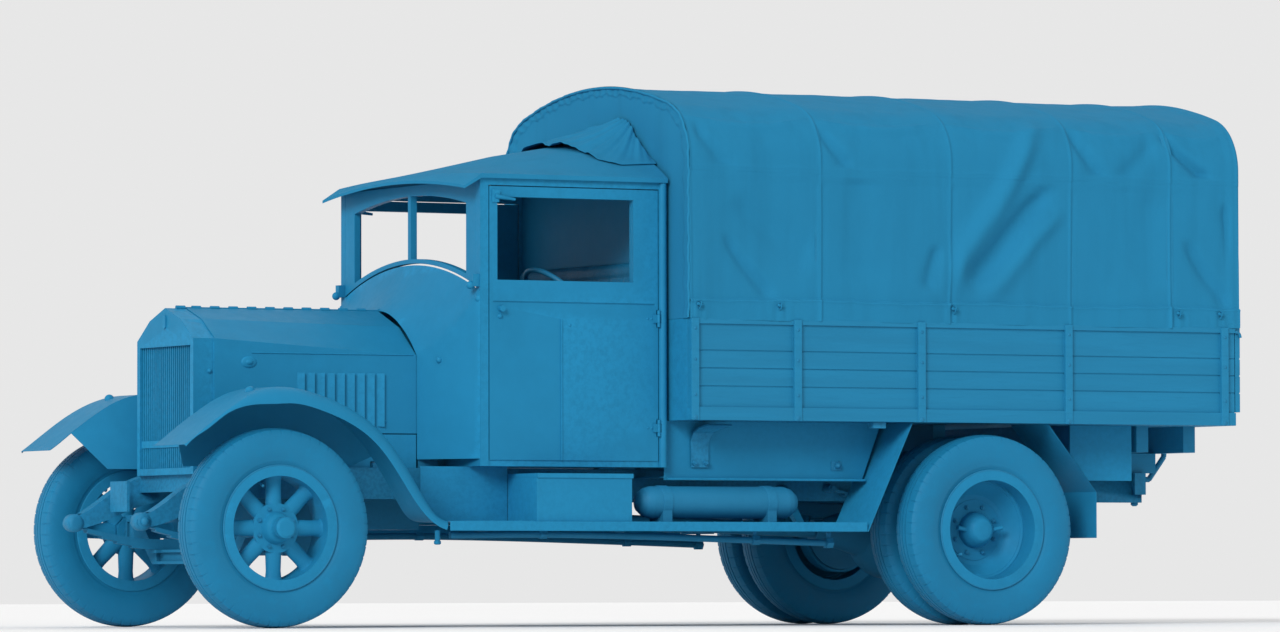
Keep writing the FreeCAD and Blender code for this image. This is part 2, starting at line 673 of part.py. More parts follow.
def front_wheel():
    """The left front wheel: hub, eight tapered cast spokes and rim."""
    x = FRONT_X
    y = FRONT_WHEEL_Y
    inner = KINGPIN_Y + BOSS_R + MOVE + KNUCKLE_PLATE + 30 + MOVE
    hub = [(SPINDLE_R + RUNNING, inner), (HUB_R, inner), (HUB_R, y - 26), (92, y - 20), (92, y + 14)]
    hub += [(HUB_FLANGE_R, y + 16), (HUB_FLANGE_R, y + 28), (78, y + 34), (66, y + 70), (CAP_R + 4, y + 84)]
    hub += [(CAP_R, y + 96), (CAP_R, CAP_FACE - 8), (CAP_R - 12, CAP_FACE), (0, CAP_FACE)]
    hub += [(0, SPINDLE_TIP + 2), (SPINDLE_R + RUNNING, SPINDLE_TIP + 2)]
    pieces = [turned(hub, x, TYRE_R), turned(rim_profile(y), x, TYRE_R)]
    for i in range(SPOKES):
        angle = math.radians(90 + i * 360 / SPOKES)
        c = math.cos(angle)
        s = math.sin(angle)
        start = (x + 80 * c, y, TYRE_R + 80 * s)
        end = (x + (BEAD_R - 6) * c, y, TYRE_R + (BEAD_R - 6) * s)
        pieces.append(cone(start, end, 30.0, 21.0))
    return fuse(pieces)


def dish(mid, face, wall):
    """Half a disc wheel's section, from its rim seat down to its bolted face."""
    inner = BEAD_R - RIM_WALL - SEAT + 2
    step = (face - mid) / 10
    outline = [(inner, mid), (inner - 20, mid), (inner - 50, mid + 5 * step)]
    outline += [(165, mid + 9 * step), (140, face), (DISC_BORE, face)]
    outline += [(DISC_BORE, face + wall), (150, face + wall), (178, mid + 9 * step + wall)]
    outline += [(inner - 38, mid + 5 * step + wall), (inner - 10, mid + wall), (inner, mid + wall)]
    return outline


def rear_wheels():
    """The left pair of rear wheels on one hub, with its brake drum."""
    outer = REAR_OUTER_Y
    inner = REAR_OUTER_Y - TWIN_SPACING
    pieces = [turned(rim_profile(y), REAR_X, TYRE_R) for y in (outer, inner)]
    pieces.append(turned(dish(outer - 30, DISC_FACE, DISC_WALL), REAR_X, TYRE_R))
    mirrored = [(r, 2 * DISC_FACE - y) for r, y in dish(2 * DISC_FACE - inner - 30, DISC_FACE, DISC_WALL)]
    pieces.append(turned(mirrored, REAR_X, TYRE_R))
    drum = REAR_FLANGE_Y + MOVE
    bore = REAR_SPINDLE_R + RUNNING
    hub = [(bore, drum + 66), (DRUM_R - 12, drum + 66), (DRUM_R - 12, drum), (DRUM_R, drum)]
    hub += [(DRUM_R, drum + 75), (80, drum + 75), (80, DISC_FACE - 12), (150, DISC_FACE - 12)]
    hub += [(150, DISC_FACE + 14), (REAR_HUB_R, DISC_FACE + 16), (REAR_HUB_R - 4, REAR_HUB_FACE - 60)]
    hub += [(REAR_HUB_R - 22, REAR_HUB_FACE - 24), (52, REAR_HUB_FACE - 6), (24, REAR_HUB_FACE)]
    hub += [(0, REAR_HUB_FACE), (0, REAR_SPINDLE_TIP + 2), (bore, REAR_SPINDLE_TIP + 2)]
    pieces.append(turned(hub, REAR_X, TYRE_R))
    for side in (-1, 1):
        start = (REAR_X + side * 70, DISC_FACE + 60, TYRE_R)
        pieces.append(rod(start, (REAR_X + side * 128, DISC_FACE + 68, TYRE_R + 12), 11.0))
    return fuse(pieces)


def rear_tyres():
    """The left pair of rear tyres."""
    return Part.makeCompound([tyre(REAR_X, REAR_OUTER_Y), tyre(REAR_X, REAR_OUTER_Y - TWIN_SPACING)])


# Radiator and bonnet

def fold_line(half, shoulder, top):
    """Where the bonnet's upper fold lies, outward from the middle and up."""
    return half * FOLD_IN, shoulder + (top - shoulder) * FOLD_UP


def nose_section(x, half, bottom, shoulder, top):
    """A house-shaped outline across the truck."""
    y, z = fold_line(half, shoulder, top)
    left = [V(x, half, bottom), V(x, half, shoulder), V(x, y, z)]
    right = [V(x, -y, z), V(x, -half, shoulder), V(x, -half, bottom)]
    return left + [V(x, 0, top)] + right


def ridge_point(x):
    """A place on the hinge line that runs along the bonnet's ridge."""
    slope = (BONNET_FRONT_TOP - BONNET_REAR_TOP) / (BONNET_FRONT - BONNET_REAR - MOVE)
    return (x, 0.0, BONNET_REAR_TOP + slope * (x - BONNET_REAR - MOVE))


def ridge_bar(x0, x1, radius):
    """A round bar on the hinge line between two places."""
    return rod(ridge_point(x0), ridge_point(x1), radius)


def radiator():
    """The radiator: a peaked shell round a core, behind upright slats."""
    front = RADIATOR_FRONT
    back = front - RADIATOR_DEPTH
    points = nose_section(back, RADIATOR_HALF, RADIATOR_BOTTOM, RADIATOR_SHOULDER, RADIATOR_TOP)
    shell = Part.Face(Part.makePolygon(points + [points[0]])).extrude(V(RADIATOR_DEPTH, 0, 0))
    w = RADIATOR_HALF - RADIATOR_RIM
    low = RADIATOR_BOTTOM + RADIATOR_RIM
    high = RADIATOR_SHOULDER - RADIATOR_RIM
    core = front - SLAT_DEPTH
    shell = shell.cut(box(core, front + 1, -w, w, low, high))
    pieces = [shell]
    count = int(2 * w / SLAT_PITCH)
    for i in range(count):
        y = -w + (i + 0.5) * 2 * w / count
        pieces.append(box(core - 1, front - 14, y - SLAT_WALL / 2, y + SLAT_WALL / 2, low, high))
    pieces.append(box(core - 1, front - 10, -w, w, *SLAT_BAR))
    pieces.append(bonnet_ledge(back - LEDGE, back + 2))
    pieces.append(box(front - 4, front + BOSS_FACE, -BOSS_OVAL_R, BOSS_OVAL_R, *BOSS_OVAL))
    for z in BOSS_OVAL:
        pieces.append(rod((front - 4, 0, z), (front + BOSS_FACE, 0, z), BOSS_OVAL_R))
    pieces.append(ridge_bar(back, back + HINGE_LENGTH, HINGE_R))
    outer = SPRING_IN - CHEEK - 3
    for y0, y1 in ((FOOT_IN, outer), (-outer, -FOOT_IN)):
        pieces.append(box(back + 20, front - 20, y0, y1, RADIATOR_BOTTOM, RADIATOR_BOTTOM + 12))
    return fuse(pieces).cut(ridge_bar(back - LEDGE, ROD_TIP + 1, HINGE_BORE))


def bonnet(own, other):
    """A left bonnet half: a louvred folded sheet with its own hinge barrels."""
    wires = []
    ends = [(BONNET_FRONT, BONNET_FRONT_HALF, RADIATOR_SHOULDER, BONNET_FRONT_TOP)]
    ends.append((BONNET_REAR + MOVE, BONNET_REAR_HALF, BONNET_REAR_SHOULDER, BONNET_REAR_TOP))
    for x, half, shoulder, top in ends:
        y, z = fold_line(half, shoulder, top)
        side = half - BONNET_WALL
        outline = [(BONNET_GAP, top), (y, z), (half, shoulder), (half, BONNET_BOTTOM)]
        outline += [(side, BONNET_BOTTOM), (side, shoulder - BONNET_WALL)]
        outline += [(y - BONNET_WALL / 2, z - FOLD_WALL), (BONNET_GAP, top - FOLD_WALL)]
        points = [V(x, y, z) for y, z in outline]
        wires.append(Part.makePolygon(points + [points[0]]))
    panel = Part.makeLoft(wires, True, True)
    cuts = [ridge_bar(BONNET_REAR, BONNET_FRONT + 1, HINGE_ROD_R + MOVE)]
    slats = []
    for i in range(LOUVRES):
        x = LOUVRE_FRONT - i * LOUVRE_PITCH
        cuts.append(box(x - 12, x + 16, 300, 440, LOUVRE_LOW, LOUVRE_HIGH))
        y = side_y(x) - LOUVRE_WALL / 2
        fin = [(x + 18, y - LOUVRE_WALL / 2), (x + 18, y + LOUVRE_WALL / 2)]
        fin += [(x - 14, y + LOUVRE_OUT), (x - 14, y + LOUVRE_OUT - LOUVRE_WALL)]
        slats.append(prism_z(fin, LOUVRE_LOW - 3, LOUVRE_HIGH + 3))
    for x in other:
        cuts.append(ridge_bar(x - HINGE_LENGTH / 2 - 2, x + HINGE_LENGTH / 2 + 2, HINGE_R + MOVE))
    panel = panel.cut(Part.makeCompound(cuts))
    barrels = [ridge_bar(x - HINGE_LENGTH / 2, x + HINGE_LENGTH / 2, HINGE_R) for x in own]
    half = fuse([panel] + slats + barrels)
    return half.cut(ridge_bar(BONNET_REAR, BONNET_FRONT + 1, HINGE_BORE))


def side_y(x):
    """How far out the bonnet's side lies at a place along it."""
    t = (x - BONNET_REAR - MOVE) / (BONNET_FRONT - BONNET_REAR - MOVE)
    return BONNET_REAR_HALF + t * (BONNET_FRONT_HALF - BONNET_REAR_HALF)


def bonnet_core(x0, x1, inset):
    """The space under the bonnet between two places, drawn in by an inset."""
    wires = []
    for x in (x0, x1):
        t = (x - BONNET_REAR - MOVE) / (BONNET_FRONT - BONNET_REAR - MOVE)
        half = side_y(x)
        shoulder = BONNET_REAR_SHOULDER + t * (RADIATOR_SHOULDER - BONNET_REAR_SHOULDER)
        top = ridge_point(x)[2]
        y, z = fold_line(half, shoulder, top)
        side = half - BONNET_WALL - inset
        drop = FOLD_WALL + inset
        left = [(side, BONNET_BOTTOM + inset), (side, shoulder - BONNET_WALL - inset)]
        left += [(y - (BONNET_WALL + inset) / 2, z - drop), (0, top - drop)]
        outline = left + [(-y, z) for y, z in reversed(left[:-1])]
        points = [V(x, y, z) for y, z in outline]
        wires.append(Part.makePolygon(points + [points[0]]))
    return Part.makeLoft(wires, True, True)


def bonnet_ledge(x0, x1):
    """The narrow ledge that the bonnet's end rests on."""
    return bonnet_core(x0, x1, SEAT).cut(bonnet_core(x0 - 1, x1 + 1, LEDGE_WALL))


# Scuttle

def scuttle_wire(x, half, shoulder, top, inset):
    """An arch across the truck: two upright sides under a curved crown."""
    h = half - inset
    t = top - inset
    s = shoulder - inset
    foot = SCUTTLE_FOOT
    y = h * SCUTTLE_BEND
    z = s + (t - s) * SCUTTLE_BEND
    arch = spline([(x, h, s), (x, y, z), (x, 0, t), (x, -y, z), (x, -h, s)])
    side_left = Part.makeLine(V(x, h, foot), V(x, h, s))
    side_right = Part.makeLine(V(x, -h, s), V(x, -h, foot))
    base = Part.makeLine(V(x, -h, foot), V(x, h, foot))
    return Part.Wire([side_left, arch, side_right, base])


def scuttle():
    """The cowl that widens from the bonnet to the cab, with the bonnet's hinge rod."""
    middle = (BONNET_REAR + CAB_FRONT) / 2
    hulls = []
    for inset, extra in ((0.0, 0.0), (SCUTTLE_WALL, 1.0)):
        front = (BONNET_REAR_HALF, BONNET_REAR_SHOULDER, BONNET_REAR_TOP, inset)
        wires = [scuttle_wire(BONNET_REAR + extra, *front)]
        wires.append(scuttle_wire(middle, *SCUTTLE_MIDDLE, inset))
        rear = (CAB_HALF - 2, CAB_SILL - 2, CAB_SILL_CROWN, inset)
        wires.append(scuttle_wire(CAB_FRONT - extra, *rear))
        hulls.append(Part.makeLoft(wires, True, False))
    shell = hulls[0].cut(hulls[1])
    foot = box(CAB_FRONT - 5, BONNET_REAR + 5, -900, 900, SCUTTLE_FOOT - 10, SCUTTLE_FOOT + 6)
    ledge = bonnet_ledge(BONNET_REAR - 2, BONNET_REAR + LEDGE + SCUTTLE_WALL)
    lug = ridge_bar(BONNET_REAR - HINGE_LENGTH / 2, BONNET_REAR, HINGE_R)
    pin = ridge_bar(BONNET_REAR - 2, ROD_TIP, HINGE_ROD_R)
    return fuse([shell.cut(foot), ledge, lug, pin])


# Wings and running boards

def wing_section(place, along, roll):
    """A closed outline square to the wing's crown, with its outer edge rolled down."""
    up = V(along.z, 0, -along.x)
    wall = WING_WALL
    turn = WING_OUTER - roll
    inner_turn = roll - wall
    slant = math.sqrt(0.5)

    def at(y, height):
        return place + V(0, y - place.y, 0) + up * height

    outer = Part.Arc(at(turn, 0), at(turn + roll * slant, roll * (slant - 1)), at(WING_OUTER, -roll))
    start = at(WING_OUTER - wall, -roll)
    half_way = at(turn + inner_turn * slant, inner_turn * slant - roll)
    inner = Part.Arc(start, half_way, at(turn, -wall))
    edges = [Part.makeLine(at(WING_INNER, 0), at(turn, 0)), outer.toShape()]
    edges += [Part.makeLine(at(WING_OUTER, -roll), start), inner.toShape()]
    edges.append(Part.makeLine(at(turn, -wall), at(WING_INNER, -wall)))
    edges.append(Part.makeLine(at(WING_INNER, -wall), at(WING_INNER, 0)))
    return Part.Wire(edges)


def wing_sheet():
    """The wing's swept sheet: flat ahead, its outer edge rolled over the wheel."""
    crown = Part.BSplineCurve()
    crown.interpolate([V(x, WING_INNER, z) for x, z in WING_CROWN])
    first = crown.FirstParameter
    span = crown.LastParameter - first
    wires = []
    for i in range(WING_STATIONS):
        t = i / (WING_STATIONS - 1)
        place = crown.value(first + span * t)
        rise = min(max((ROLL_START - place.x) / ROLL_SPAN, 0.0), 1.0)
        ease = rise * rise * (3 - 2 * rise)
        roll = ROLL_FRONT + (ROLL_WHEEL - ROLL_FRONT) * ease
        if place.x < ROLL_FALL:
            fall = (ROLL_FALL - place.x) / (ROLL_FALL - BOARD_FRONT)
            roll += (BOARD_EDGE - ROLL_WHEEL) * fall
        wires.append(wing_section(place, crown.tangent(first + span * t)[0], roll))
    return Part.makeLoft(wires, True, False)


def wing():
    """The left front wing: the swept sheet with the valance that joins it to the frame."""
    seam = offset_curve(WING_CROWN[1:9], WING_WALL / 2)
    upper = spline([(x, WING_INNER, z) for x, z in seam])
    low = RAIL_TOP + SEAT
    lower = Part.makeLine(V(VALANCE_FRONT, VALANCE_EDGE, low), V(VALANCE_REAR, VALANCE_EDGE, low))
    valance = Part.makeRuledSurface(upper, lower).extrude(V(0, WING_WALL, 0))
    tab_in = RAIL_Y - RAIL_FLANGE
    tab = box(VALANCE_REAR + 10, RAIL_FRONT - 10, tab_in, VALANCE_EDGE + WING_WALL, low, low + WING_WALL)
    rear = side_y(BONNET_REAR + MOVE)
    front = side_y(BONNET_FRONT)
    plan = [(BONNET_REAR + MOVE, rear - WING_WALL), (BONNET_FRONT, front - WING_WALL)]
    plan += [(BONNET_FRONT, front), (BONNET_REAR + MOVE, rear)]
    apron = prism_z(plan, low, BONNET_BOTTOM - MOVE)
    body = fuse([wing_sheet(), valance, tab, apron])
    cuts = [box(BOARD_FRONT - 100, BOARD_FRONT + SEAT, 0, WING_OUTER + 50, 0, BOARD_TOP + 195)]
    for x in ENGINE_ARMS:
        cuts.append(box(x - MOVE, x + ENGINE_ARM + MOVE, 250, RAIL_Y + 4, low - 1, low + 30))
    return body.cut(Part.makeCompound(cuts))


def running_board():
    """The left running board: a tray with a deep edge, on arms from the rail."""
    low = BOARD_TOP - BOARD_EDGE
    under = BOARD_TOP - BOARD_SHEET
    side = WING_OUTER - BOARD_SHEET
    pieces = [box(BOARD_REAR, BOARD_FRONT, BOARD_INNER, WING_OUTER, under, BOARD_TOP)]
    pieces.append(box(BOARD_REAR, BOARD_FRONT, side, WING_OUTER, low, BOARD_TOP))
    plate = (LOCKER_FRONT + 20, TREAD_FRONT, BOARD_INNER + 30, WING_OUTER - 15)
    pieces.append(box(*plate, BOARD_TOP, BOARD_TOP + TREAD_RISE))
    for x in BRACKET_X:
        arm = [(RAIL_Y + SEAT / 3, 690), (RAIL_Y + SEAT / 3, 620), (BOARD_INNER + 20, BOARD_TOP - 40)]
        arm += [(WING_OUTER - 30, BOARD_TOP - 26), (WING_OUTER - 30, under)]
        arm += [(BOARD_INNER, under), (RAIL_Y + 20, 690)]
        pieces.append(prism_x(arm, x - 22, x + 22))
    return fuse(pieces)


def step_apron():
    """The left sheets between board and body: under the cab and under the bed."""
    y = BOARD_INNER
    front = box(LOCKER_FRONT + SEAT, BOARD_FRONT - 5, y, y + 3, BOARD_TOP, SCUTTLE_FOOT - 30)
    rear = SKIRT_REAR
    foot = APRON_LOW
    head = CAB_REAR - 2
    skirt = box(rear, head, SKIRT_Y, SKIRT_Y + GUARD_WALL, foot, BED_BOTTOM - SEAT)
    ledge = box(rear + 90, head, SKIRT_Y, SKIRT_Y + 40, foot - 12, foot)
    slope = prism_y([(rear - 4, BED_BOTTOM), (rear - 4, foot - 40), (rear + 120, foot - 40)], y, 800)
    pieces = [skirt.fuse(ledge).cut(slope)]
    for x in (head - 58, rear + 255):
        pieces.append(box(x, x + 58, RAIL_Y + SEAT, SKIRT_Y, foot, foot + 6))
    return Part.makeCompound([front, fuse(pieces)])


def locker():
    """The left step locker on the running board, with its raised lid edge."""
    rim = LOCKER_TOP - LOCKER_LID
    shape = box(LOCKER_REAR, LOCKER_FRONT, BOARD_INNER + 5, WING_OUTER - 22, BOARD_TOP + SEAT, rim)
    lid = box(LOCKER_REAR - 5, LOCKER_FRONT - 1, BOARD_INNER + 3, WING_OUTER - 16, rim, LOCKER_TOP)
    return fuse([shape, lid])


def side_tank():
    """The long round tank beside the frame, on two cradles."""
    x0 = TANK_REAR
    x1 = TANK_FRONT
    nose = ((0, 0), (18, 46), (46, 68), (80, TANK_R))
    outline = [(x0 + d, r) for d, r in nose] + [(x1 - d, r) for d, r in reversed(nose)]
    points = [V(x, TANK_Y, TANK_Z + r) for x, r in outline]
    body = Part.Face(Part.makePolygon(points + [points[0]])).revolve(V(0, TANK_Y, TANK_Z), V(1, 0, 0), 360)
    pieces = [body]
    for x in (x0 + 150, x1 - 170):
        pieces.append(box(x, x + 50, TANK_Y - 70, TANK_Y + 70, BOARD_TOP + SEAT, TANK_Z - 30))
        pieces.append(Part.makeCylinder(TANK_R + 4, 50, V(x, TANK_Y, TANK_Z), V(1, 0, 0)))
    return fuse(pieces)


# Cab

def roof_arch(y, edge, crown):
    """The height of a crowned line across the cab."""
    return edge + (crown - edge) * (1 - (y / CAB_HALF) ** 2)


def arch_face(x, half, low, edge, crown):
    """A flat face across the truck, with a level foot and a crowned top."""
    top = spline([(x, y, roof_arch(y, edge, crown)) for y in (half, half / 2, 0, -half / 2, -half)])
    left = Part.makeLine(V(x, half, low), V(x, half, roof_arch(half, edge, crown)))
    right = Part.makeLine(V(x, -half, roof_arch(half, edge, crown)), V(x, -half, low))
    base = Part.makeLine(V(x, -half, low), V(x, half, low))
    return Part.Face(Part.Wire([left, top, right, base]))


def door_hinges():
    """The left door's two hinges: knuckles on the door between the cab's, round pins."""
    x = DOOR_REAR
    y = CAB_HALF + DOOR_HINGE_OUT
    strap = y - DOOR_HINGE_OUT - 2
    reach = DOOR_HINGE_R + MOVE
    cab = []
    cab_space = []
    leaf_bars = []
    leaf_space = []
    bores = []
    for z in DOOR_HINGE_Z:
        low = z - DOOR_HINGE_HALF
        high = z + DOOR_HINGE_HALF
        cab.append(rod((x, y, low - DOOR_HINGE_EAR), (x, y, high + DOOR_HINGE_EAR), DOOR_PIN_R))
        for z0, z1 in ((low - DOOR_HINGE_EAR, low - 1), (high + 1, high + DOOR_HINGE_EAR)):
            cab.append(rod((x, y, z0), (x, y, z1), DOOR_HINGE_R))
            cab.append(box(x - 20, x - 2, strap, y, z0, z1))
            leaf_space.append(rod((x, y, z0 - 2), (x, y, z1 + 2), reach))
        leaf_bars.append(rod((x, y, low), (x, y, high), DOOR_HINGE_R))
        leaf_bars.append(box(x, x + 30, strap, y, low, high))
        cab_space.append(rod((x, y, low - 1), (x, y, high + 1), reach))
        bores.append(rod((x, y, low - 1), (x, y, high + 1), DOOR_PIN_R + RUNNING * 2))
    return {"cab": fuse(cab), "cab_space": Part.makeCompound(cab_space),
            "leaf": Part.makeCompound(leaf_bars), "leaf_space": Part.makeCompound(leaf_space),
            "bore": Part.makeCompound(bores)}


def cab_body():
    """The cab's floor, back wall, pillars, cant rails and dash wall."""
    y0 = CAB_HALF - CAB_WALL
    roof = CAB_ROOF_EDGE - SEAT
    pieces = [box(CAB_REAR, CAB_FRONT - SEAT, -CAB_HALF + 6, CAB_HALF - 6, CAB_FLOOR - 30, CAB_FLOOR)]
    high = CAB_ROOF_REAR_CROWN
    pieces.append(box(CAB_REAR, CAB_REAR + BACK_WALL, -CAB_HALF, CAB_HALF, CAB_FLOOR - 2, high))
    for side in (-1, 1):
        ya, yb = sorted((side * y0, side * CAB_HALF))
        pieces.append(box(CAB_REAR, DOOR_REAR - MOVE, ya, yb, CAB_FLOOR - 30, roof))
        pieces.append(box(DOOR_FRONT + MOVE, CAB_FRONT - SEAT, ya, yb, CAB_FLOOR - 30, roof))
        pieces.append(box(CAB_REAR, CAB_FRONT - SEAT, ya, yb, DOOR_TOP + MOVE, roof + 60))
        y = side * (CAB_HALF - 4)
        pieces.append(rod((CAB_REAR + 22, y, CAB_FLOOR - 30), (CAB_REAR + 22, y, roof), 20.0))
    dash = arch_face(CAB_FRONT - SEAT, y0 + 4, CAB_FLOOR - 4, CAB_SILL - 40, CAB_SILL_CROWN - 30)
    pieces.append(dash.extrude(V(-DASH_WALL, 0, 0)))
    for x in MOUNT_X:
        for side in (-1, 1):
            ya, yb = sorted((side * (RAIL_Y - RAIL_FLANGE), side * RAIL_Y))
            pieces.append(box(x - 40, x + 40, ya, yb, RAIL_TOP, CAB_FLOOR - 30))
    body = fuse(pieces)
    lift = 400.0
    drop = lift + ROOF_WALL + SEAT
    edge = CAB_ROOF_EDGE + ROOF_WALL + lift
    behind = roof_wire(CAB_REAR - 20, CAB_HALF + ROOF_OVERHANG, edge, CAB_ROOF_REAR_CROWN + lift, drop)
    body = body.cut(roof_block(lift, drop)).cut(Part.Face(behind).extrude(V(30, 0, 0)))
    body = body.cut(rod(COLUMN_FOOT, COLUMN_TOP, COLUMN_R + 8))
    left = door_hinges()
    body = body.cut(Part.makeCompound([left["cab_space"], mirror_y(left["cab_space"])]))
    return fuse([body, left["cab"], mirror_y(left["cab"])])


def windscreen_frame():
    """The open windscreen frame: jambs, centre post and crowned header."""
    x0 = CAB_FRONT - 34
    x1 = CAB_FRONT - SEAT
    half = CAB_HALF - CAB_WALL - SEAT
    depth = V(x1 - x0, 0, 0)
    through = V(x1 - x0 + 2, 0, 0)
    top = (CAB_ROOF_EDGE - SEAT, CAB_ROOF_FRONT_CROWN - ROOF_WALL - 4)
    outer = arch_face(x0, half, CAB_SILL + 8, *top).extrude(depth)
    sill = arch_face(x0 - 1, half + 1, CAB_SILL - 200, CAB_SILL + 6, CAB_SILL_CROWN + 8)
    sill = sill.extrude(through)
    light = arch_face(x0 - 1, half - JAMB, CAB_SILL, HEADER_LOW, HEADER_LOW + 92).extrude(through)
    frame = outer.cut(light).cut(sill)
    post = box(x0, x1, -16, 16, CAB_SILL_CROWN - 10, CAB_ROOF_FRONT_CROWN - 40).cut(sill)
    rim = arch_face(x0, half, CAB_SILL + 6, CAB_SILL + 34, CAB_SILL_CROWN + 30).extrude(depth)
    return fuse([frame, post, rim.cut(sill)])


def roof_wire(x, half, edge, crown, drop):
    """A closed lens-shaped outline across the roof."""
    ys = (half, half * 0.6, 0, -half * 0.6, -half)
    top = spline([(x, y, edge + (crown - edge) * (1 - (y / half) ** 2)) for y in ys])
    low = spline([(x, y, edge + (crown - edge) * (1 - (y / half) ** 2) - drop) for y in ys])
    left = Part.makeLine(V(x, half, edge), V(x, half, edge - drop))
    right = Part.makeLine(V(x, -half, edge), V(x, -half, edge - drop))
    return Part.Wire([top, right, low, left])


def roof_block(lift, drop):
    """The roof's outline as a solid, from a lift above its skin to a drop below it."""
    half = CAB_HALF + ROOF_OVERHANG
    edge = CAB_ROOF_EDGE + ROOF_WALL + lift
    wires = [roof_wire(CAB_REAR + 4, half, edge, CAB_ROOF_REAR_CROWN + lift, drop)]
    wires.append(roof_wire(CAB_MIDDLE, half, edge, CAB_MIDDLE_CROWN + lift, drop))
    wires.append(roof_wire(CAB_FRONT, half, edge, CAB_ROOF_FRONT_CROWN + ROOF_WALL + lift, drop))
    return Part.makeLoft(wires, True, True)


def cab_roof():
    """The soft roof, crowned more towards the tilt, with its full width sun visor."""
    half = CAB_HALF + ROOF_OVERHANG
    root = (CAB_ROOF_EDGE + ROOF_WALL, CAB_ROOF_FRONT_CROWN + ROOF_WALL, ROOF_WALL)
    visor = [roof_wire(CAB_FRONT, half, *root)]
    visor.append(roof_wire(VISOR_X, half, VISOR_EDGE, VISOR_CROWN, VISOR_LIP))
    return fuse([roof_block(0.0, ROOF_WALL), Part.makeLoft(visor, True, True)])


def roof_cloth():
    """The folded cloth that lies on the rear of the roof, against the tilt."""
    rear = TILT_FRONT + 15
    low = CAB_ROOF_EDGE + 100
    top = CAB_ROOF_REAR_CROWN + CLOTH_BULK
    points = [(CLOTH_FRONT, low), (CLOTH_FRONT - 20, top - 98), (CLOTH_FRONT - 130, top - 50)]
    points += [(CLOTH_FRONT - 180, top - 20), (rear + 25, top), (rear, top - 30), (rear, low)]
    return prism_y(points, CLOTH_RIGHT, CLOTH_LEFT).cut(roof_block(SEAT, 300.0))


def door():
    """The left door: a thick leaf with an open window and a raised belt."""
    y0 = CAB_HALF - CAB_WALL + 5
    leaf_shape = box(DOOR_REAR, DOOR_FRONT, y0, CAB_HALF, CAB_FLOOR, DOOR_TOP)
    window = box(WINDOW_REAR, WINDOW_FRONT, y0 - 1, CAB_HALF + 1, WINDOW_BOTTOM, WINDOW_TOP)
    recess = box(DOOR_REAR + 40, DOOR_FRONT - 40, y0 - 1, y0 + 14, CAB_FLOOR + 60, WINDOW_BOTTOM - 60)
    groove = box(DOOR_REAR + 20, DOOR_FRONT - 20, CAB_HALF - 4, CAB_HALF + 1, *DOOR_GROOVE)
    rib = box(842, 850, CAB_HALF - 1, CAB_HALF + 5, CAB_FLOOR, 1480)
    hinges = door_hinges()
    shape = leaf_shape.cut(Part.makeCompound([window, recess, groove, hinges["leaf_space"]]))
    x = DOOR_FRONT - 60
    knob = rod((x, CAB_HALF - 1, DOOR_KNOB_Z), (x, CAB_HALF + 26, DOOR_KNOB_Z), 15.0)
    return fuse([shape, rib, knob, hinges["leaf"]]).cut(hinges["bore"])


def seat_base():
    """The plain box under the bench seat."""
    half = SEAT_HALF - 10
    return box(SEAT_BOX_REAR, SEAT_BOX_FRONT, -half, half, CAB_FLOOR, SEAT_BOX_TOP)


def seat_cushion():
    """The bench cushion, one soft block with rounded edges."""
    low = SEAT_BOX_TOP + SEAT
    shape = box(SEAT_BOX_REAR - 10, SEAT_BOX_FRONT + 30, -SEAT_HALF, SEAT_HALF, low, SEAT_TOP)
    return shape.makeFillet(30, [e for e in shape.Edges if e.BoundBox.ZMin > SEAT_TOP - 1])


def seat_back():
    """The bench's padded back, leaning on the cab's back wall."""
    wall = CAB_REAR + BACK_WALL + SEAT
    low = SEAT_TOP + SEAT
    top = SEAT_BACK_TOP
    outline = [(wall, low), (wall, top), (wall + 60, top), (wall + 130, low)]
    shape = prism_y(outline, -SEAT_HALF, SEAT_HALF)
    return shape.makeFillet(24, [e for e in shape.Edges if e.BoundBox.ZMin > top - 1])


def steering_column():
    """The column tube, its stay on the dash wall and the steering box on the rail."""
    pieces = [rod(COLUMN_FOOT, COLUMN_TOP, COLUMN_R)]
    x, y, z = COLUMN_FOOT
    pieces.append(box(x - 60, x + 45, RAIL_Y - RAIL_FLANGE, RAIL_Y - 4, RAIL_TOP, z + 40))
    z_stay = z + (x - 900) * (WHEEL_CENTRE[2] - z) / (x - WHEEL_CENTRE[0])
    pieces.append(rod((900, y, z_stay), (CAB_FRONT - DASH_WALL - SEAT * 2, y, z_stay), 9.0))
    return fuse(pieces)


def steering_wheel():
    """The steering wheel: a round rim, four spokes and a hub on the column's end."""
    centre = V(*WHEEL_CENTRE)
    axis = (centre - V(*COLUMN_FOOT)).normalize()
    rim = Part.makeTorus(WHEEL_RIM_R, 13, centre, axis)
    pieces = [rim, Part.makeCylinder(34, WHEEL_HUB + 18, centre - axis * (WHEEL_HUB - SEAT), axis)]
    side = V(0, 1, 0)
    up = axis.cross(side)
    for i in range(4):
        angle = math.radians(45 + 90 * i)
        way = side * math.cos(angle) + up * math.sin(angle)
        pieces.append(Part.makeCylinder(8, WHEEL_RIM_R - 20, centre + way * 15, way))
    return fuse(pieces)


# Load bed

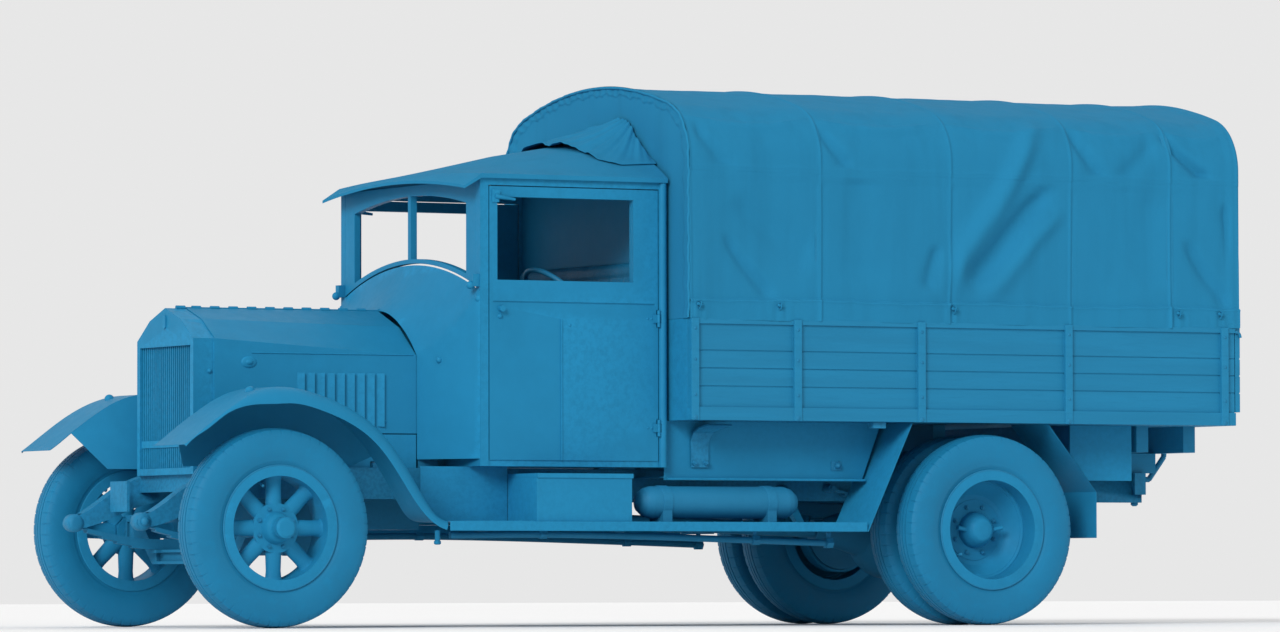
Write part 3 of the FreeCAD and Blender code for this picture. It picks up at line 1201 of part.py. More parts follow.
def bed_floor():
    """The bed's floor on its cross bearers and runners, with the gate's hinge ears."""
    pieces = [box(BED_REAR, BED_FRONT, -BED_HALF, BED_HALF, BED_BOTTOM, BED_FLOOR)]
    inner = BED_HALF - BOARD_WALL - SEAT
    front = BED_FRONT - BOARD_WALL - SEAT
    pieces.append(box(BED_REAR, front, -inner, inner, BED_FLOOR, BED_FLOOR + FLOOR_RISE))
    for side in (-1, 1):
        ya, yb = sorted((side * (RAIL_Y - RAIL_FLANGE), side * RAIL_Y))
        pieces.append(box(BED_REAR + 130, BED_FRONT - 20, ya, yb, RAIL_TOP, RAIL_TOP + BED_RUNNER))
    for x in BEARER_X:
        near_wheel = abs(x - REAR_X) < TYRE_R + 60
        half = BEARER_SHORT if near_wheel else BEARER_HALF
        pieces.append(box(x - 35, x + 35, -half, half, RAIL_TOP + BED_RUNNER, BED_BOTTOM))
    for y in GATE_PIN_Y:
        pin = [(GATE_PIN_X, y - 30, GATE_PIN_Z), (GATE_PIN_X, y + 30, GATE_PIN_Z)]
        pieces.append(rod(*pin, GATE_PIN_R))
        for y0 in (y - 35, y + 25):
            low = GATE_PIN_Z - GATE_EAR_R
            high = GATE_PIN_Z + GATE_EAR_R
            pieces.append(box(GATE_PIN_X, BED_REAR, y0, y0 + 10, low, high))
            ends = [(GATE_PIN_X, y0, GATE_PIN_Z), (GATE_PIN_X, y0 + 10, GATE_PIN_Z)]
            pieces.append(rod(*ends, GATE_EAR_R))
    return fuse(pieces)


def bed_side():
    """The left side: planks behind upright posts, under a top rail."""
    y1 = BED_HALF
    y0 = y1 - BOARD_WALL
    shape = box(BED_REAR, BED_FRONT, y0, y1, BED_FLOOR, BED_TOP)
    for z in PLANK_LINES:
        shape = shape.cut(box(BED_REAR - 1, BED_FRONT + 1, y1 - 4, y1 + 1, z - 3, z + 3))
    pieces = [shape, box(BED_REAR, BED_FRONT, y1, y1 + 10, BED_TOP - 26, BED_TOP)]
    pieces.append(box(BED_REAR, BED_FRONT, y1, y1 + 12, BED_BOTTOM, BED_FLOOR + 4))
    for x in POST_X:
        pieces.append(box(x - POST_HALF, x + POST_HALF, y1, y1 + POST_OUT, BED_BOTTOM, BED_TOP))
    return fuse(pieces)


def bed_front():
    """The fixed board across the front of the bed."""
    half = BED_HALF - BOARD_WALL
    return box(BED_FRONT - BOARD_WALL, BED_FRONT, -half, half, BED_FLOOR, BED_TOP)


def tailgate():
    """The hinged board at the rear, with its knuckles round the pins."""
    rear = BED_REAR - MOVE
    face = rear - BOARD_WALL
    half = BED_HALF + 1
    shape = box(face, rear, -BED_HALF, BED_HALF, GATE_LOW, BED_TOP)
    lines = [box(face - 1, face + 4, -half, half, z - 3, z + 3) for z in PLANK_LINES]
    pieces = [shape.cut(Part.makeCompound(lines))]
    bores = []
    for y in GATE_PIN_Y:
        pieces.append(box(GATE_PIN_X - 8, rear - 6, y - 22, y + 22, GATE_PIN_Z, GATE_LOW + 60))
        pieces.append(rod((GATE_PIN_X, y - 22, GATE_PIN_Z), (GATE_PIN_X, y + 22, GATE_PIN_Z), 14.0))
        bore = [(GATE_PIN_X, y - 23, GATE_PIN_Z), (GATE_PIN_X, y + 23, GATE_PIN_Z)]
        bores.append(rod(*bore, GATE_PIN_R + RUNNING * 2))
    return fuse(pieces).cut(Part.makeCompound(bores))


# Tilt

def tilt_wire(x, inset, foot):
    """The tilt's outline across the truck: two sides, two shoulders and a crown."""
    half = TILT_HALF - inset
    crown = TILT_CROWN_R
    top = TILT_TOP - inset
    shoulder = TILT_SHOULDER_R - inset
    centre_z = TILT_TOP - crown
    yc = TILT_HALF - TILT_SHOULDER_R
    zc = centre_z + math.sqrt((crown - TILT_SHOULDER_R) ** 2 - yc ** 2)
    way = V(0, yc, zc - centre_z).normalize()
    join = V(x, yc, zc) + way * shoulder
    bend = math.atan2(way.z, way.y)
    mid = V(x, yc + shoulder * math.cos(bend / 2), zc + shoulder * math.sin(bend / 2))
    flip = V(x, -join.y, join.z)
    edges = [Part.makeLine(V(x, half, foot), V(x, half, zc))]
    edges.append(Part.Arc(V(x, half, zc), mid, join).toShape())
    edges.append(Part.Arc(join, V(x, 0, top), flip).toShape())
    edges.append(Part.Arc(flip, V(x, -mid.y, mid.z), V(x, -half, zc)).toShape())
    edges.append(Part.makeLine(V(x, -half, zc), V(x, -half, foot)))
    edges.append(Part.makeLine(V(x, -half, foot), V(x, half, foot)))
    return Part.Wire(edges)


def tilt_block(x0, x1, inset, foot):
    """The solid inside the tilt's outline between two places."""
    return Part.Face(tilt_wire(x0, inset, foot)).extrude(V(x1 - x0, 0, 0))


def tilt_canvas():
    """The canvas: one sheet over the hoops, closed in front and open behind."""
    outer = tilt_block(TILT_REAR, TILT_FRONT, 0.0, TILT_HEM)
    inner = tilt_block(TILT_REAR - 1, TILT_FRONT - TILT_WALL, TILT_WALL, TILT_HEM - 1)
    half = TILT_HALF + 1
    over_gate = box(TILT_REAR - 1, BED_REAR + MOVE, -half, half, TILT_HEM - 1, TILT_HEM_REAR)
    return outer.cut(inner).cut(over_gate)


def tilt_hoops():
    """The bent flat hoops on the bed's sides, joined by three long battens."""
    gap = TILT_WALL + SEAT
    pieces = []
    for x in HOOP_X:
        x0 = x - HOOP_WIDTH / 2
        outer = tilt_block(x0, x0 + HOOP_WIDTH, gap, BED_TOP)
        inner = tilt_block(x0 - 1, x0 + HOOP_WIDTH + 1, gap + HOOP_WALL, BED_TOP - 1)
        pieces.append(outer.cut(inner))
    reach = box(TILT_REAR + 2, TILT_FRONT - TILT_WALL - 2, -25, 25, TILT_TOP - 60, TILT_TOP)
    skin = tilt_block(TILT_REAR + 2, TILT_FRONT - TILT_WALL - 2, gap + 2, BED_TOP)
    skin = skin.cut(tilt_block(TILT_REAR + 1, TILT_FRONT, gap + HOOP_WALL, BED_TOP - 1))
    pieces.append(skin.common(reach))
    for side in (-1, 1):
        ya, yb = sorted((side * (TILT_HALF - 60), side * TILT_HALF))
        high = BATTEN_LOW + BATTEN_WIDTH
        pieces.append(skin.common(box(TILT_REAR + 2, TILT_FRONT, ya, yb, BATTEN_LOW, high)))
    return fuse(pieces)


def rolled_curtain():
    """The rear curtain, rolled up under the last hoop."""
    gap = TILT_WALL + SEAT + HOOP_WALL + SEAT
    x = TILT_REAR + 22
    panel = tilt_block(x, x + 4, gap, ROLL_Z - 300)
    panel = panel.common(box(x - 1, x + 5, -TILT_HALF, TILT_HALF, ROLL_Z, TILT_TOP))
    centre = x + ROLL_R - 18
    roll = rod((centre, -TILT_HALF + 60, ROLL_Z), (centre, TILT_HALF - 60, ROLL_Z), ROLL_R)
    return fuse([panel, roll])


# Rear mudguards and small fittings

def rear_mudguard():
    """The left rear mudguard: sloping panels before and behind the wheel."""
    top = BED_BOTTOM
    x0 = BOARD_REAR - SEAT
    low = BOARD_TOP - BOARD_EDGE
    head, foot = GUARD_HEADS, GUARD_REAR
    front = [(x0, low), (x0 - GUARD_WALL, low), (head[0] - GUARD_WALL, top), (head[0], top)]
    rear = [(head[1], top), (head[1] - GUARD_WALL, top), (foot - GUARD_WALL, GUARD_BEND)]
    rear += [(foot - GUARD_WALL, GUARD_FOOT), (foot, GUARD_FOOT), (foot, GUARD_BEND)]
    panels = [prism_y(outline, GUARD_INNER, GUARD_OUTER) for outline in (front, rear)]
    y = GUARD_PLATE
    plate = box(GUARD_TAIL, foot - GUARD_WALL, y, y + GUARD_WALL, APRON_LOW, top)
    return Part.makeCompound([panels[0], fuse([panels[1], plate])])


def tow_hooks():
    """The curved bars at the rear of the frame."""
    left = [(RAIL_REAR - TAIL_PLATE - SEAT, 735), (-2790, 735), (-2880, 850)]
    left.append((-2890, BED_BOTTOM - 20))
    pieces = []
    for (x0, z0), (x1, z1) in zip(left, left[1:]):
        pieces.append(rod((x0, HOOK_Y, z0), (x1, HOOK_Y, z1), HOOK_R))
    return both_sides(fuse(pieces))


def side_lamps():
    """The small lamp blocks in front of the cab's pillars."""
    x = CAB_FRONT
    low = CAB_SILL + 20
    body = box(x, x + 34, CAB_HALF - 44, CAB_HALF - 8, low, low + 60)
    ball = Part.makeSphere(20, V(x + 40, CAB_HALF - 26, low + 6))
    return both_sides(fuse([body, ball]))


def build():
    """Every sub-part, written in turn."""
    os.makedirs("parts", exist_ok=True)
    single = {
        "frame_rails": frame_rails, "front_springs": front_springs, "rear_springs": rear_springs,
        "front_axle_beam": front_axle_beam, "rear_axle": rear_axle, "engine_block": engine_block,
        "propeller_shaft": propeller_shaft, "track_rod": track_rod, "radiator": radiator,
        "scuttle": scuttle, "side_tank": side_tank, "cab_body": cab_body,
        "windscreen_frame": windscreen_frame, "cab_roof": cab_roof, "roof_cloth": roof_cloth,
        "seat_base": seat_base, "seat_cushion": seat_cushion, "seat_back": seat_back,
        "steering_column": steering_column, "steering_wheel": steering_wheel,
        "bed_floor": bed_floor, "bed_front": bed_front, "tailgate": tailgate,
        "tilt_hoops": tilt_hoops, "tilt_canvas": tilt_canvas, "rolled_curtain": rolled_curtain,
        "tow_hooks": tow_hooks, "side_lamps": side_lamps,
    }
    paired = {
        "knuckle": knuckle, "front_wheel": front_wheel, "rear_wheels": rear_wheels,
        "rear_tyres": rear_tyres, "front_wing": wing,
        "running_board": running_board, "step_apron": step_apron, "locker": locker,
        "door": door, "bed_side": bed_side, "rear_mudguard": rear_mudguard,
        "front_tyre": lambda: tyre(FRONT_X, FRONT_WHEEL_Y),
    }
    save("bonnet_left", bonnet(HINGE_LEFT, HINGE_RIGHT))
    save("bonnet_right", mirror_y(bonnet(HINGE_RIGHT, HINGE_LEFT)))
    for name, make in single.items():
        save(name, make())
    for name, make in paired.items():
        left = make()
        save(name + "_left", left)
        save(name + "_right", mirror_y(left))


build()
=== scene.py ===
"""A covered four-wheeled lorry of about 1930 with a canvas tilt, finished all over in one blue paint.

Run as a script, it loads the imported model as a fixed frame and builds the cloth, the tyres, the
small fittings, the finishes and the studio around it. All lengths are metres; forward is +X,
the lorry's left side is +Y, and the ground is at Z = 0.
"""

import math

import bpy
import numpy as np
from mathutils import Matrix, Vector


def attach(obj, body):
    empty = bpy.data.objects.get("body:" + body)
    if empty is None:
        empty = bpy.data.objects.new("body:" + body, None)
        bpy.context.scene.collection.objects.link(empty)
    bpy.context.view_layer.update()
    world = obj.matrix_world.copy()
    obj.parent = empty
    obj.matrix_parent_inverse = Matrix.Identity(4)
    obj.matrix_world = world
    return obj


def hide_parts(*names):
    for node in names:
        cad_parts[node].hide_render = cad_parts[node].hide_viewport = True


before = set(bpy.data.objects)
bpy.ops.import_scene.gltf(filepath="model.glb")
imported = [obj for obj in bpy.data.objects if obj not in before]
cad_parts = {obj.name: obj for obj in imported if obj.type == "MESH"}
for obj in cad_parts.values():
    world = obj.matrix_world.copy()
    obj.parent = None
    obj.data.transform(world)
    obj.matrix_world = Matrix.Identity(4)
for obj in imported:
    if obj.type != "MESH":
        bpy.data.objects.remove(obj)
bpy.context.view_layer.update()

bl_info = {
    "name": "Covered Lorry",
    "version": (1, 0, 0),
    "blender": (4, 5, 0),
    "location": "View3D > Sidebar > Lorry",
    "description": "Builds the cloth, tyres, fittings and finishes of a covered lorry around its solids",
    "category": "Object",
}

SIDES = (("left", 1.0), ("right", -1.0))


# Settings

def colour(name, description, default):
    """A setting that holds a colour."""
    return bpy.props.FloatVectorProperty(
        name=name, description=description, subtype="COLOR", size=3, min=0.0, max=1.0, default=default)


def length(name, description, default, low=-10.0, high=10.0):
    """A setting that holds a length or a place, in metres."""
    return bpy.props.FloatProperty(
        name=name, description=description, unit="LENGTH", min=low, max=high, default=default)


def amount(name, description, default, low=0.0, high=1.0):
    """A setting that holds a plain number."""
    return bpy.props.FloatProperty(name=name, description=description, min=low, max=high, default=default)


class LORRY_PG_paint(bpy.types.PropertyGroup):
    """The colours of the finish, how strongly it is worn, and how strongly painted shade darkens its hollows.
    """

    body: colour("Body paint", "Colour of the sheet metal", (0.014, 0.200, 0.380))
    iron: colour("Chassis paint", "Colour of the frame, axles and springs", (0.014, 0.180, 0.342))
    canvas: colour("Canvas", "Colour of the tilt and the roof cloth", (0.017, 0.195, 0.364))
    wood: colour("Painted wood", "Colour of the bed's boards", (0.010, 0.194, 0.368))
    leather: colour("Seat leather", "Colour of the seat", (0.012, 0.170, 0.325))
    rubber: colour("Tyre rubber", "Colour of the painted tyres", (0.006, 0.174, 0.340))
    roughness: amount("Roughness", "Roughness of the sheet metal's paint", 0.48, low=0.1)
    # This one amount sets both how much the edges are rubbed lighter and how much painted shade darkens the
    # hollows.
    wear_and_shade: amount("Wear", "How far edges and hollows differ from the flat paint", 0.5)


class LORRY_PG_tilt(bpy.types.PropertyGroup):
    """Sizes of the canvas tilt."""

    half_width: length("Half width", "From the middle to the canvas's side", 0.962)
    top: length("Top", "Height of the crown at a hoop", 2.659)
    hem: length("Hem", "Height of the lower edge", 1.4895)
    crown_radius: length("Crown radius", "Radius of the top arc", 2.560)
    shoulder_radius: length("Shoulder radius", "Radius of each shoulder arc", 0.280)
    front: length("Front", "Place of the front wall", 0.256)
    rear: length("Rear", "Place of the open rear edge", -2.907)
    sag: length("Sag", "How far the cloth hangs between two hoops", 0.012, 0.0, 0.05)
    fold: length("Fold depth", "Depth of the deepest slanting fold", 0.040, 0.0, 0.06)
    hem_band: length("Hem band", "Width of the doubled lower edge", 0.095)
    seam: length("Seam height", "Height of the long sewn seam", 2.205)


class LORRY_PG_tyre(bpy.types.PropertyGroup):
    """Sizes of the tread."""

    blocks: bpy.props.IntProperty(
        name="Tread blocks", description="Number of tread blocks round a tyre", min=12, max=96, default=54)
    groove: length("Groove depth", "Depth of the tread's grooves", 0.006, 0.0, 0.02)


class LORRY_PG_stage(bpy.types.PropertyGroup):
    """The floor, the lamps and the camera."""

    floor: colour("Floor", "Colour of the surroundings; the floor is a little lighter", (0.80, 0.80, 0.80))
    key: amount("Key lamp", "Strength of the soft key lamp", 2.0, high=20.0)
    surround: amount("Surround", "Strength of the light from all round", 0.66, high=2.0)
    camera: bpy.props.FloatVectorProperty(
        name="Camera place", description="Where the camera stands", subtype="TRANSLATION", size=3,
        unit="LENGTH", default=(16.959, 31.179, 0.193))
    lens: bpy.props.FloatProperty(
        name="Lens", description="Focal length", unit="CAMERA", default=201.25)


def settings():
    """The settings of this scene."""
    return bpy.context.scene.lorry


# Meshes

def stacked(*values):
    """Arrays of coordinates joined into rows, such as xyz; each one spreads over the others' shape."""
    return np.stack(np.broadcast_arrays(*values), axis=-1)


def circle(steps):
    """Angles of even steps round a circle."""
    return np.linspace(0.0, 2.0 * math.pi, steps, endpoint=False)


def add_mesh(name, points, faces, uv=None):
    """A smooth mesh object from rows of points and of corner numbers, with an optional uv row per point."""
    mesh = bpy.data.meshes.new(name)
    mesh.from_pydata(points, [], faces.tolist() if isinstance(faces, np.ndarray) else faces)
    if uv is not None:
        layer = mesh.uv_layers.new(name="UVMap")
        corners = np.empty(len(mesh.loops), dtype=np.int32)
        mesh.loops.foreach_get("vertex_index", corners)
        layer.data.foreach_set("uv", np.asarray(uv, dtype=np.float32)[corners].ravel())
    mesh.polygons.foreach_set("use_smooth", np.full(len(mesh.polygons), True))
    mesh.update()
    piece = bpy.data.objects.new(name, mesh)
    bpy.context.scene.collection.objects.link(piece)
    return piece


def grid_faces(rows, columns, around=False, along=False):
    """Corner numbers of a grid's cells, row by row; around closes the columns and along closes the rows."""
    r = np.arange(rows if along else rows - 1)[:, None]
    c = np.arange(columns if around else columns - 1)[None, :]
    r1, c1 = (r + 1) % rows, (c + 1) % columns
    corners = (r * columns + c, r * columns + c1, r1 * columns + c1, r1 * columns + c)
    return stacked(*corners).reshape(-1, 4)


def grid_piece(name, points, flip=False, uv=None):
    """A sheet from an array of points laid out as rows, columns and xyz."""
    faces = grid_faces(*points.shape[:2])
    flat_uv = None if uv is None else uv.reshape(-1, 2)
    return add_mesh(name, points.reshape(-1, 3), faces[:, ::-1] if flip else faces, flat_uv)


def outward(points, faces):
    """The faces of a shape, turned to look out: reversed where its volume comes out below zero."""
    points, faces = np.asarray(points), np.asarray(faces)
    corners = points[faces] - points.mean(axis=0)
    volume = sum(np.sum(corners[:, 0] * np.cross(corners[:, k], corners[:, k + 1])) for k in (1, 2))
    return faces if volume > 0.0 else faces[:, ::-1]


def merged(name, parts):
    """One object from several (points, faces) pairs whose faces all have four corners. Points that fall
    together in one pair become a single point, which closes poles, and bends over 40 degrees stay sharp."""
    points, faces, start = [], [], 0
    for part_points, part_faces in parts:
        own, place = np.unique(np.asarray(part_points, float), axis=0, return_inverse=True)
        for face in (place.ravel()[outward(part_points, part_faces)] + start).tolist():
            corners = list(dict.fromkeys(face))
            if len(corners) > 2:
                faces.append(corners)
        points.append(own)
        start += len(own)
    piece = add_mesh(name, np.concatenate(points), faces)
    piece.data.set_sharp_from_angle(angle=math.radians(40.0))
    return piece


def smooth_step(x):
    """0 below 0, 1 above 1, and 3x squared less 2x cubed between."""
    x = np.clip(x, 0.0, 1.0)
    return x * x * (3.0 - 2.0 * x)


def bell(x):
    """A round bump: 1 at 0, falling as e to the minus x squared."""
    return np.exp(-x * x)


def turning_axes(way):
    """Two directions square to a way and to each other."""
    way = np.asarray(way, float) / np.linalg.norm(way)
    helper = np.array((0.0, 0.0, 1.0)) if abs(way[2]) < 0.9 else np.array((1.0, 0.0, 0.0))
    first = np.cross(helper, way)
    first /= np.linalg.norm(first)
    return first, np.cross(way, first), way


def turned_solid(foot, way, profile, steps=24):
    """A body of revolution: profile rows (distance along the way, radius) turned round it from the foot.
    A point is foot + d * way + r * (cos a * first + sin a * second), and both ends close on the axis."""
    first, second, way = turning_axes(way)
    rows = np.asarray(profile, float)
    rows = np.concatenate([[[rows[0, 0], 0.0]], rows, [[rows[-1, 0], 0.0]]])
    a = circle(steps)[:, None]
    ring = np.cos(a) * first + np.sin(a) * second
    points = np.asarray(foot, float) + rows[:, None, 0, None] * way + rows[:, None, 1, None] * ring[None]
    return points.reshape(-1, 3), grid_faces(len(rows), steps, around=True)


def dome(foot, way, radius, height, steps=16):
    """A round rivet or button head: radius falls as the quarter of an ellipse over its height."""
    rising = np.linspace(0.0, math.pi / 2, 6)[:-1]
    profile = [(height * math.sin(k), radius * math.cos(k)) for k in rising]
    return turned_solid(foot, way, profile + [(height, radius * 0.05)], steps)


def hexagon_nut(foot, way, radius, height):
    """A six-sided nut with its corners chamfered, and a short stud end standing out of it."""
    body = turned_solid(foot, way, [(0.0, radius), (height * 0.8, radius), (height, radius * 0.86)], 6)
    end = [(height * 0.5, radius * 0.5), (height * 1.35, radius * 0.5), (height * 1.5, radius * 0.4)]
    return [body, turned_solid(foot, way, end, 12)]


def tube(path, radius, steps=12):
    """A round bar along a path: a ring of steps points square to the path's direction at each point."""
    path = np.asarray(path, float)
    way = np.gradient(path, axis=0)
    way /= np.linalg.norm(way, axis=1)[:, None]
    helper = np.array((0.0, 1.0, 0.0)) if abs(way[:, 1]).max() < 0.9 else np.array((1.0, 0.0, 0.0))
    first = np.cross(way, helper)
    first /= np.linalg.norm(first, axis=1)[:, None]
    second = np.cross(way, first)
    a = circle(steps)[:, None]
    radius = np.broadcast_to(np.asarray(radius, float), (len(path),))
    ring = np.cos(a) * first[:, None] + np.sin(a) * second[:, None]
    points = path[:, None] + ring * radius[:, None, None]
    first, last = (np.repeat(path[k, None, None], steps, 1) for k in (0, -1))
    ends = np.concatenate([first, points, last])
    return ends.reshape(-1, 3), grid_faces(len(ends), steps, around=True)[:, ::-1]


def curve_through(points, count):
    """A smooth path through a few points: each span is a cubic with the slopes of its neighbours."""
    points = np.asarray(points, float)
    padded = np.concatenate([[2 * points[0] - points[1]], points, [2 * points[-1] - points[-2]]])
    s = np.linspace(0.0, len(points) - 1 - 1e-9, count)
    i = s.astype(int)
    t = (s - i)[:, None]
    p0, p1, p2, p3 = (padded[i + k] for k in range(4))
    bend = 2 * p0 - 5 * p1 + 4 * p2 - p3
    twist = 3 * p1 - p0 - 3 * p2 + p3
    return 0.5 * (2 * p1 + (p2 - p0) * t + bend * t**2 + twist * t**3)


def plate(corners, depth):
    """A flat sheet from four corners in order, with depth as its thickness vector."""
    low = np.asarray(corners, float)
    points = np.concatenate([low, low + np.asarray(depth, float)])
    sides = [(k, (k + 1) % 4, (k + 1) % 4 + 4, k + 4) for k in range(4)]
    return points, [(3, 2, 1, 0), (4, 5, 6, 7)] + sides


def finished(piece, finish, body, slot=None, *nodes):
    """Gives a piece its finish and its body and hides the solids it stands for, as an operator's last step.
    The slot is not used.
    """
    piece.data.materials.append(bpy.data.materials["finish_" + finish])
    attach(piece, body)
    if nodes:
        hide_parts(*nodes)
    return {"FINISHED"}


# Materials

class Finish:
    """A shader under construction, with short calls for its nodes."""

    def __init__(self, name, colour, roughness):
        self.material = bpy.data.materials.new("finish_" + name)
        self.material.use_nodes = True
        self.tree = self.material.node_tree
        self.tree.nodes.clear()
        out = self.tree.nodes.new("ShaderNodeOutputMaterial")
        self.shader = self.tree.nodes.new("ShaderNodeBsdfPrincipled")
        self.tree.links.new(self.shader.outputs["BSDF"], out.inputs["Surface"])
        self.colour = tuple(colour) + (1.0,)
        self.shader.inputs["Base Color"].default_value = self.colour
        self.shader.inputs["Roughness"].default_value = roughness
        self.material.diffuse_color = self.colour
        self.object = self.node("ShaderNodeTexCoord").outputs["Object"]

    def node(self, kind, inputs=None, **fields):
        """A new node; inputs gives values or sockets for its inputs by name or number."""
        made = self.tree.nodes.new(kind)
        for field, value in fields.items():
            setattr(made, field, value)
        for key, value in (inputs or {}).items():
            self.set(made.inputs[key], value)
        return made

    def set(self, socket, value):
        """Links a socket to another one, or gives it a value."""
        if isinstance(value, bpy.types.NodeSocket):
            self.tree.links.new(value, socket)
        else:
            socket.default_value = value

    def stretched(self, source, scale):
        """A pattern place that is stretched along each axis."""
        return self.node("ShaderNodeMapping", {"Vector": source, "Scale": scale}).outputs[0]

    def noise(self, scale, detail=3.0, rough=0.5, place=None):
        """Soft grey noise from 0 to 1; scale is in patches a metre."""
        inputs = {"Vector": place or self.object, "Scale": scale, "Detail": detail, "Roughness": rough}
        return self.node("ShaderNodeTexNoise", inputs).outputs["Fac"]

    def cells(self, scale):
        """Distance to the edge of small cells."""
        inputs = {"Vector": self.object, "Scale": scale}
        return self.node("ShaderNodeTexVoronoi", inputs, feature="DISTANCE_TO_EDGE").outputs["Distance"]

    def wave(self, scale, place, direction):
        """Even stripes across one direction."""
        inputs = {"Vector": place, "Scale": scale}
        return self.node("ShaderNodeTexWave", inputs, bands_direction=direction).outputs["Fac"]

    def spread(self, value, low, high, to_low=0.0, to_high=1.0):
        """A value stretched from one range to another and held inside it."""
        inputs = {"Value": value, "From Min": low, "From Max": high, "To Min": to_low, "To Max": to_high}
        return self.node("ShaderNodeMapRange", inputs).outputs["Result"]

    def math(self, work, a, b):
        """One sum of two values."""
        return self.node("ShaderNodeMath", {0: a, 1: b}, operation=work).outputs[0]

    def times(self, a, b):
        """One value multiplied by another."""
        return self.math("MULTIPLY", a, b)

    def patches(self, scale, detail, low, high, rough=0.5):
        """Noise stretched so that low becomes 0 and high becomes 1."""
        return self.spread(self.noise(scale, detail, rough), low, high)

    def mix(self, factor, a, b):
        """One colour faded into another."""
        made = self.node("ShaderNodeMix", data_type="RGBA", clamp_factor=True)
        for key, value in ((0, factor), (6, a), (7, b)):
            self.set(made.inputs[key], value)
        return made.outputs[2]

    def shade(self, factor):
        """The finish's own colour made lighter or darker."""
        return tuple(min(k * factor, 1.0) for k in self.colour[:3]) + (1.0,)

    def tint(self, *layers):
        """The base colour: each layer is a mask and a factor of the finish's own colour."""
        result = self.colour
        for mask, factor in layers:
            result = self.mix(mask, result, self.shade(factor))
        self.set(self.shader.inputs["Base Color"], result)

    def gloss(self, mask, low, high):
        """Roughness that moves between two values with a mask."""
        self.set(self.shader.inputs["Roughness"], self.spread(mask, 0.0, 1.0, low, high))

    def relief(self, *layers):
        """Bumps in turn: each layer is a height from 0 to 1 and its real height in metres."""
        normal = None
        for height, distance in layers:
            inputs = {"Height": height, "Distance": distance, "Strength": 1.0}
            if normal is not None:
                inputs["Normal"] = normal
            normal = self.node("ShaderNodeBump", inputs).outputs["Normal"]
        self.set(self.shader.inputs["Normal"], normal)

    def shine(self, level):
        """How strongly the surface mirrors, from 0 to 1."""
        self.shader.inputs["Specular IOR Level"].default_value = level

    def edges(self, low=0.515, high=0.60):
        """1 on sharp outer edges and 0 on flat faces."""
        return self.spread(self.node("ShaderNodeNewGeometry").outputs["Pointiness"], low, high)

    def hollow_shade(self, reach=0.12):
        """1 where other faces stand close round a point, from how much of the sky it sees; the finishes
        darken their colour with it as painted shade in hollows, which partly also stands for dust and dirt.
        """
        seen = self.node("ShaderNodeAmbientOcclusion", {"Distance": reach}, samples=4)
        return self.spread(seen.outputs["AO"], 0.75, 0.25)


def paint_finish(name, colour, roughness, beaten=0.0012):
    """Brushed-out enamel on sheet metal: faint cloudiness, beaten waves, rubbed edges, and corners darkened
    by painted shade mixed with dust.
    """
    made = Finish(name, colour, roughness)
    wear_and_shade = settings().paint.wear_and_shade
    cloud = made.patches(1.7, 4.0, 0.35, 0.65)
    flow = made.patches(11.0, 5.0, 0.4, 0.7, 0.6)
    rub = made.times(made.edges(), made.patches(38.0, 4.0, 0.35, 0.6, 0.7))
    # Darker in corners and hollows: painted shade from the occlusion mask, broken up by noise patches as
    # dust.
    dust_and_shade = made.times(made.hollow_shade(), made.patches(6.0, 3.0, 0.2, 0.7))
    made.tint((cloud, 0.93), (made.times(flow, 0.5), 1.08), (made.times(dust_and_shade, wear_and_shade), 0.72),
              (made.times(rub, wear_and_shade), 1.38))
    made.gloss(made.noise(23.0, 4.0, 0.6), roughness - 0.10, roughness + 0.12)
    made.relief((made.noise(5.0, 2.0), beaten), (made.noise(260.0, 2.0), 0.00012), (flow, 0.00025))
    made.shine(0.08)
    return made.material


def iron_finish(name, colour, roughness):
    """Thick paint over forged and cast iron: a pitted skin, corners darkened by painted shade that also
    stands for dirt, and bare-looking edges.
    """
    made = Finish(name, colour, roughness)
    wear_and_shade = settings().paint.wear_and_shade
    pits = made.spread(made.cells(170.0), 0.0, 0.25)
    cloud = made.patches(4.0, 5.0, 0.35, 0.7, 0.6)
    rub = made.times(made.edges(), made.patches(55.0, 3.0, 0.35, 0.6))
    # Darker in corners and hollows: painted shade from the occlusion mask, which also stands for dirt.
    dirt_and_shade = made.hollow_shade(0.2)
    made.tint((cloud, 0.88), (made.times(dirt_and_shade, wear_and_shade), 0.62), (made.times(rub, wear_and_shade), 1.35))
    made.gloss(cloud, roughness - 0.08, roughness + 0.16)
    made.relief((made.noise(34.0, 4.0, 0.65), 0.0009), (pits, 0.00018))
    made.shine(0.16)
    return made.material


def wood_finish(name, colour, roughness, along=(1.0, 14.0, 14.0)):
    """Boards under paint: grain along the lorry, knots, and joints and hollows darkened by painted shade that
    also stands for dust.
    """
    made = Finish(name, colour, roughness)
    wear_and_shade = settings().paint.wear_and_shade
    run = made.stretched(made.object, along)
    grain = made.noise(5.0, 7.0, 0.62, run)
    figure = made.spread(made.noise(1.1, 3.0, 0.5, run), 0.35, 0.7)
    rub = made.times(made.edges(), made.patches(30.0, 3.0, 0.3, 0.6))
    # Darker along the joints and in hollows: painted shade from the occlusion mask, which also stands for
    # dust.
    dust_and_shade = made.hollow_shade(0.06)
    made.tint((figure, 0.90), (made.spread(grain, 0.52, 0.72), 0.90), (made.times(dust_and_shade, wear_and_shade), 0.66),
              (made.times(rub, wear_and_shade), 1.30))
    made.gloss(grain, roughness - 0.08, roughness + 0.14)
    made.relief((grain, 0.0011), (made.noise(180.0, 2.0), 0.00012))
    made.shine(0.22)
    return made.material


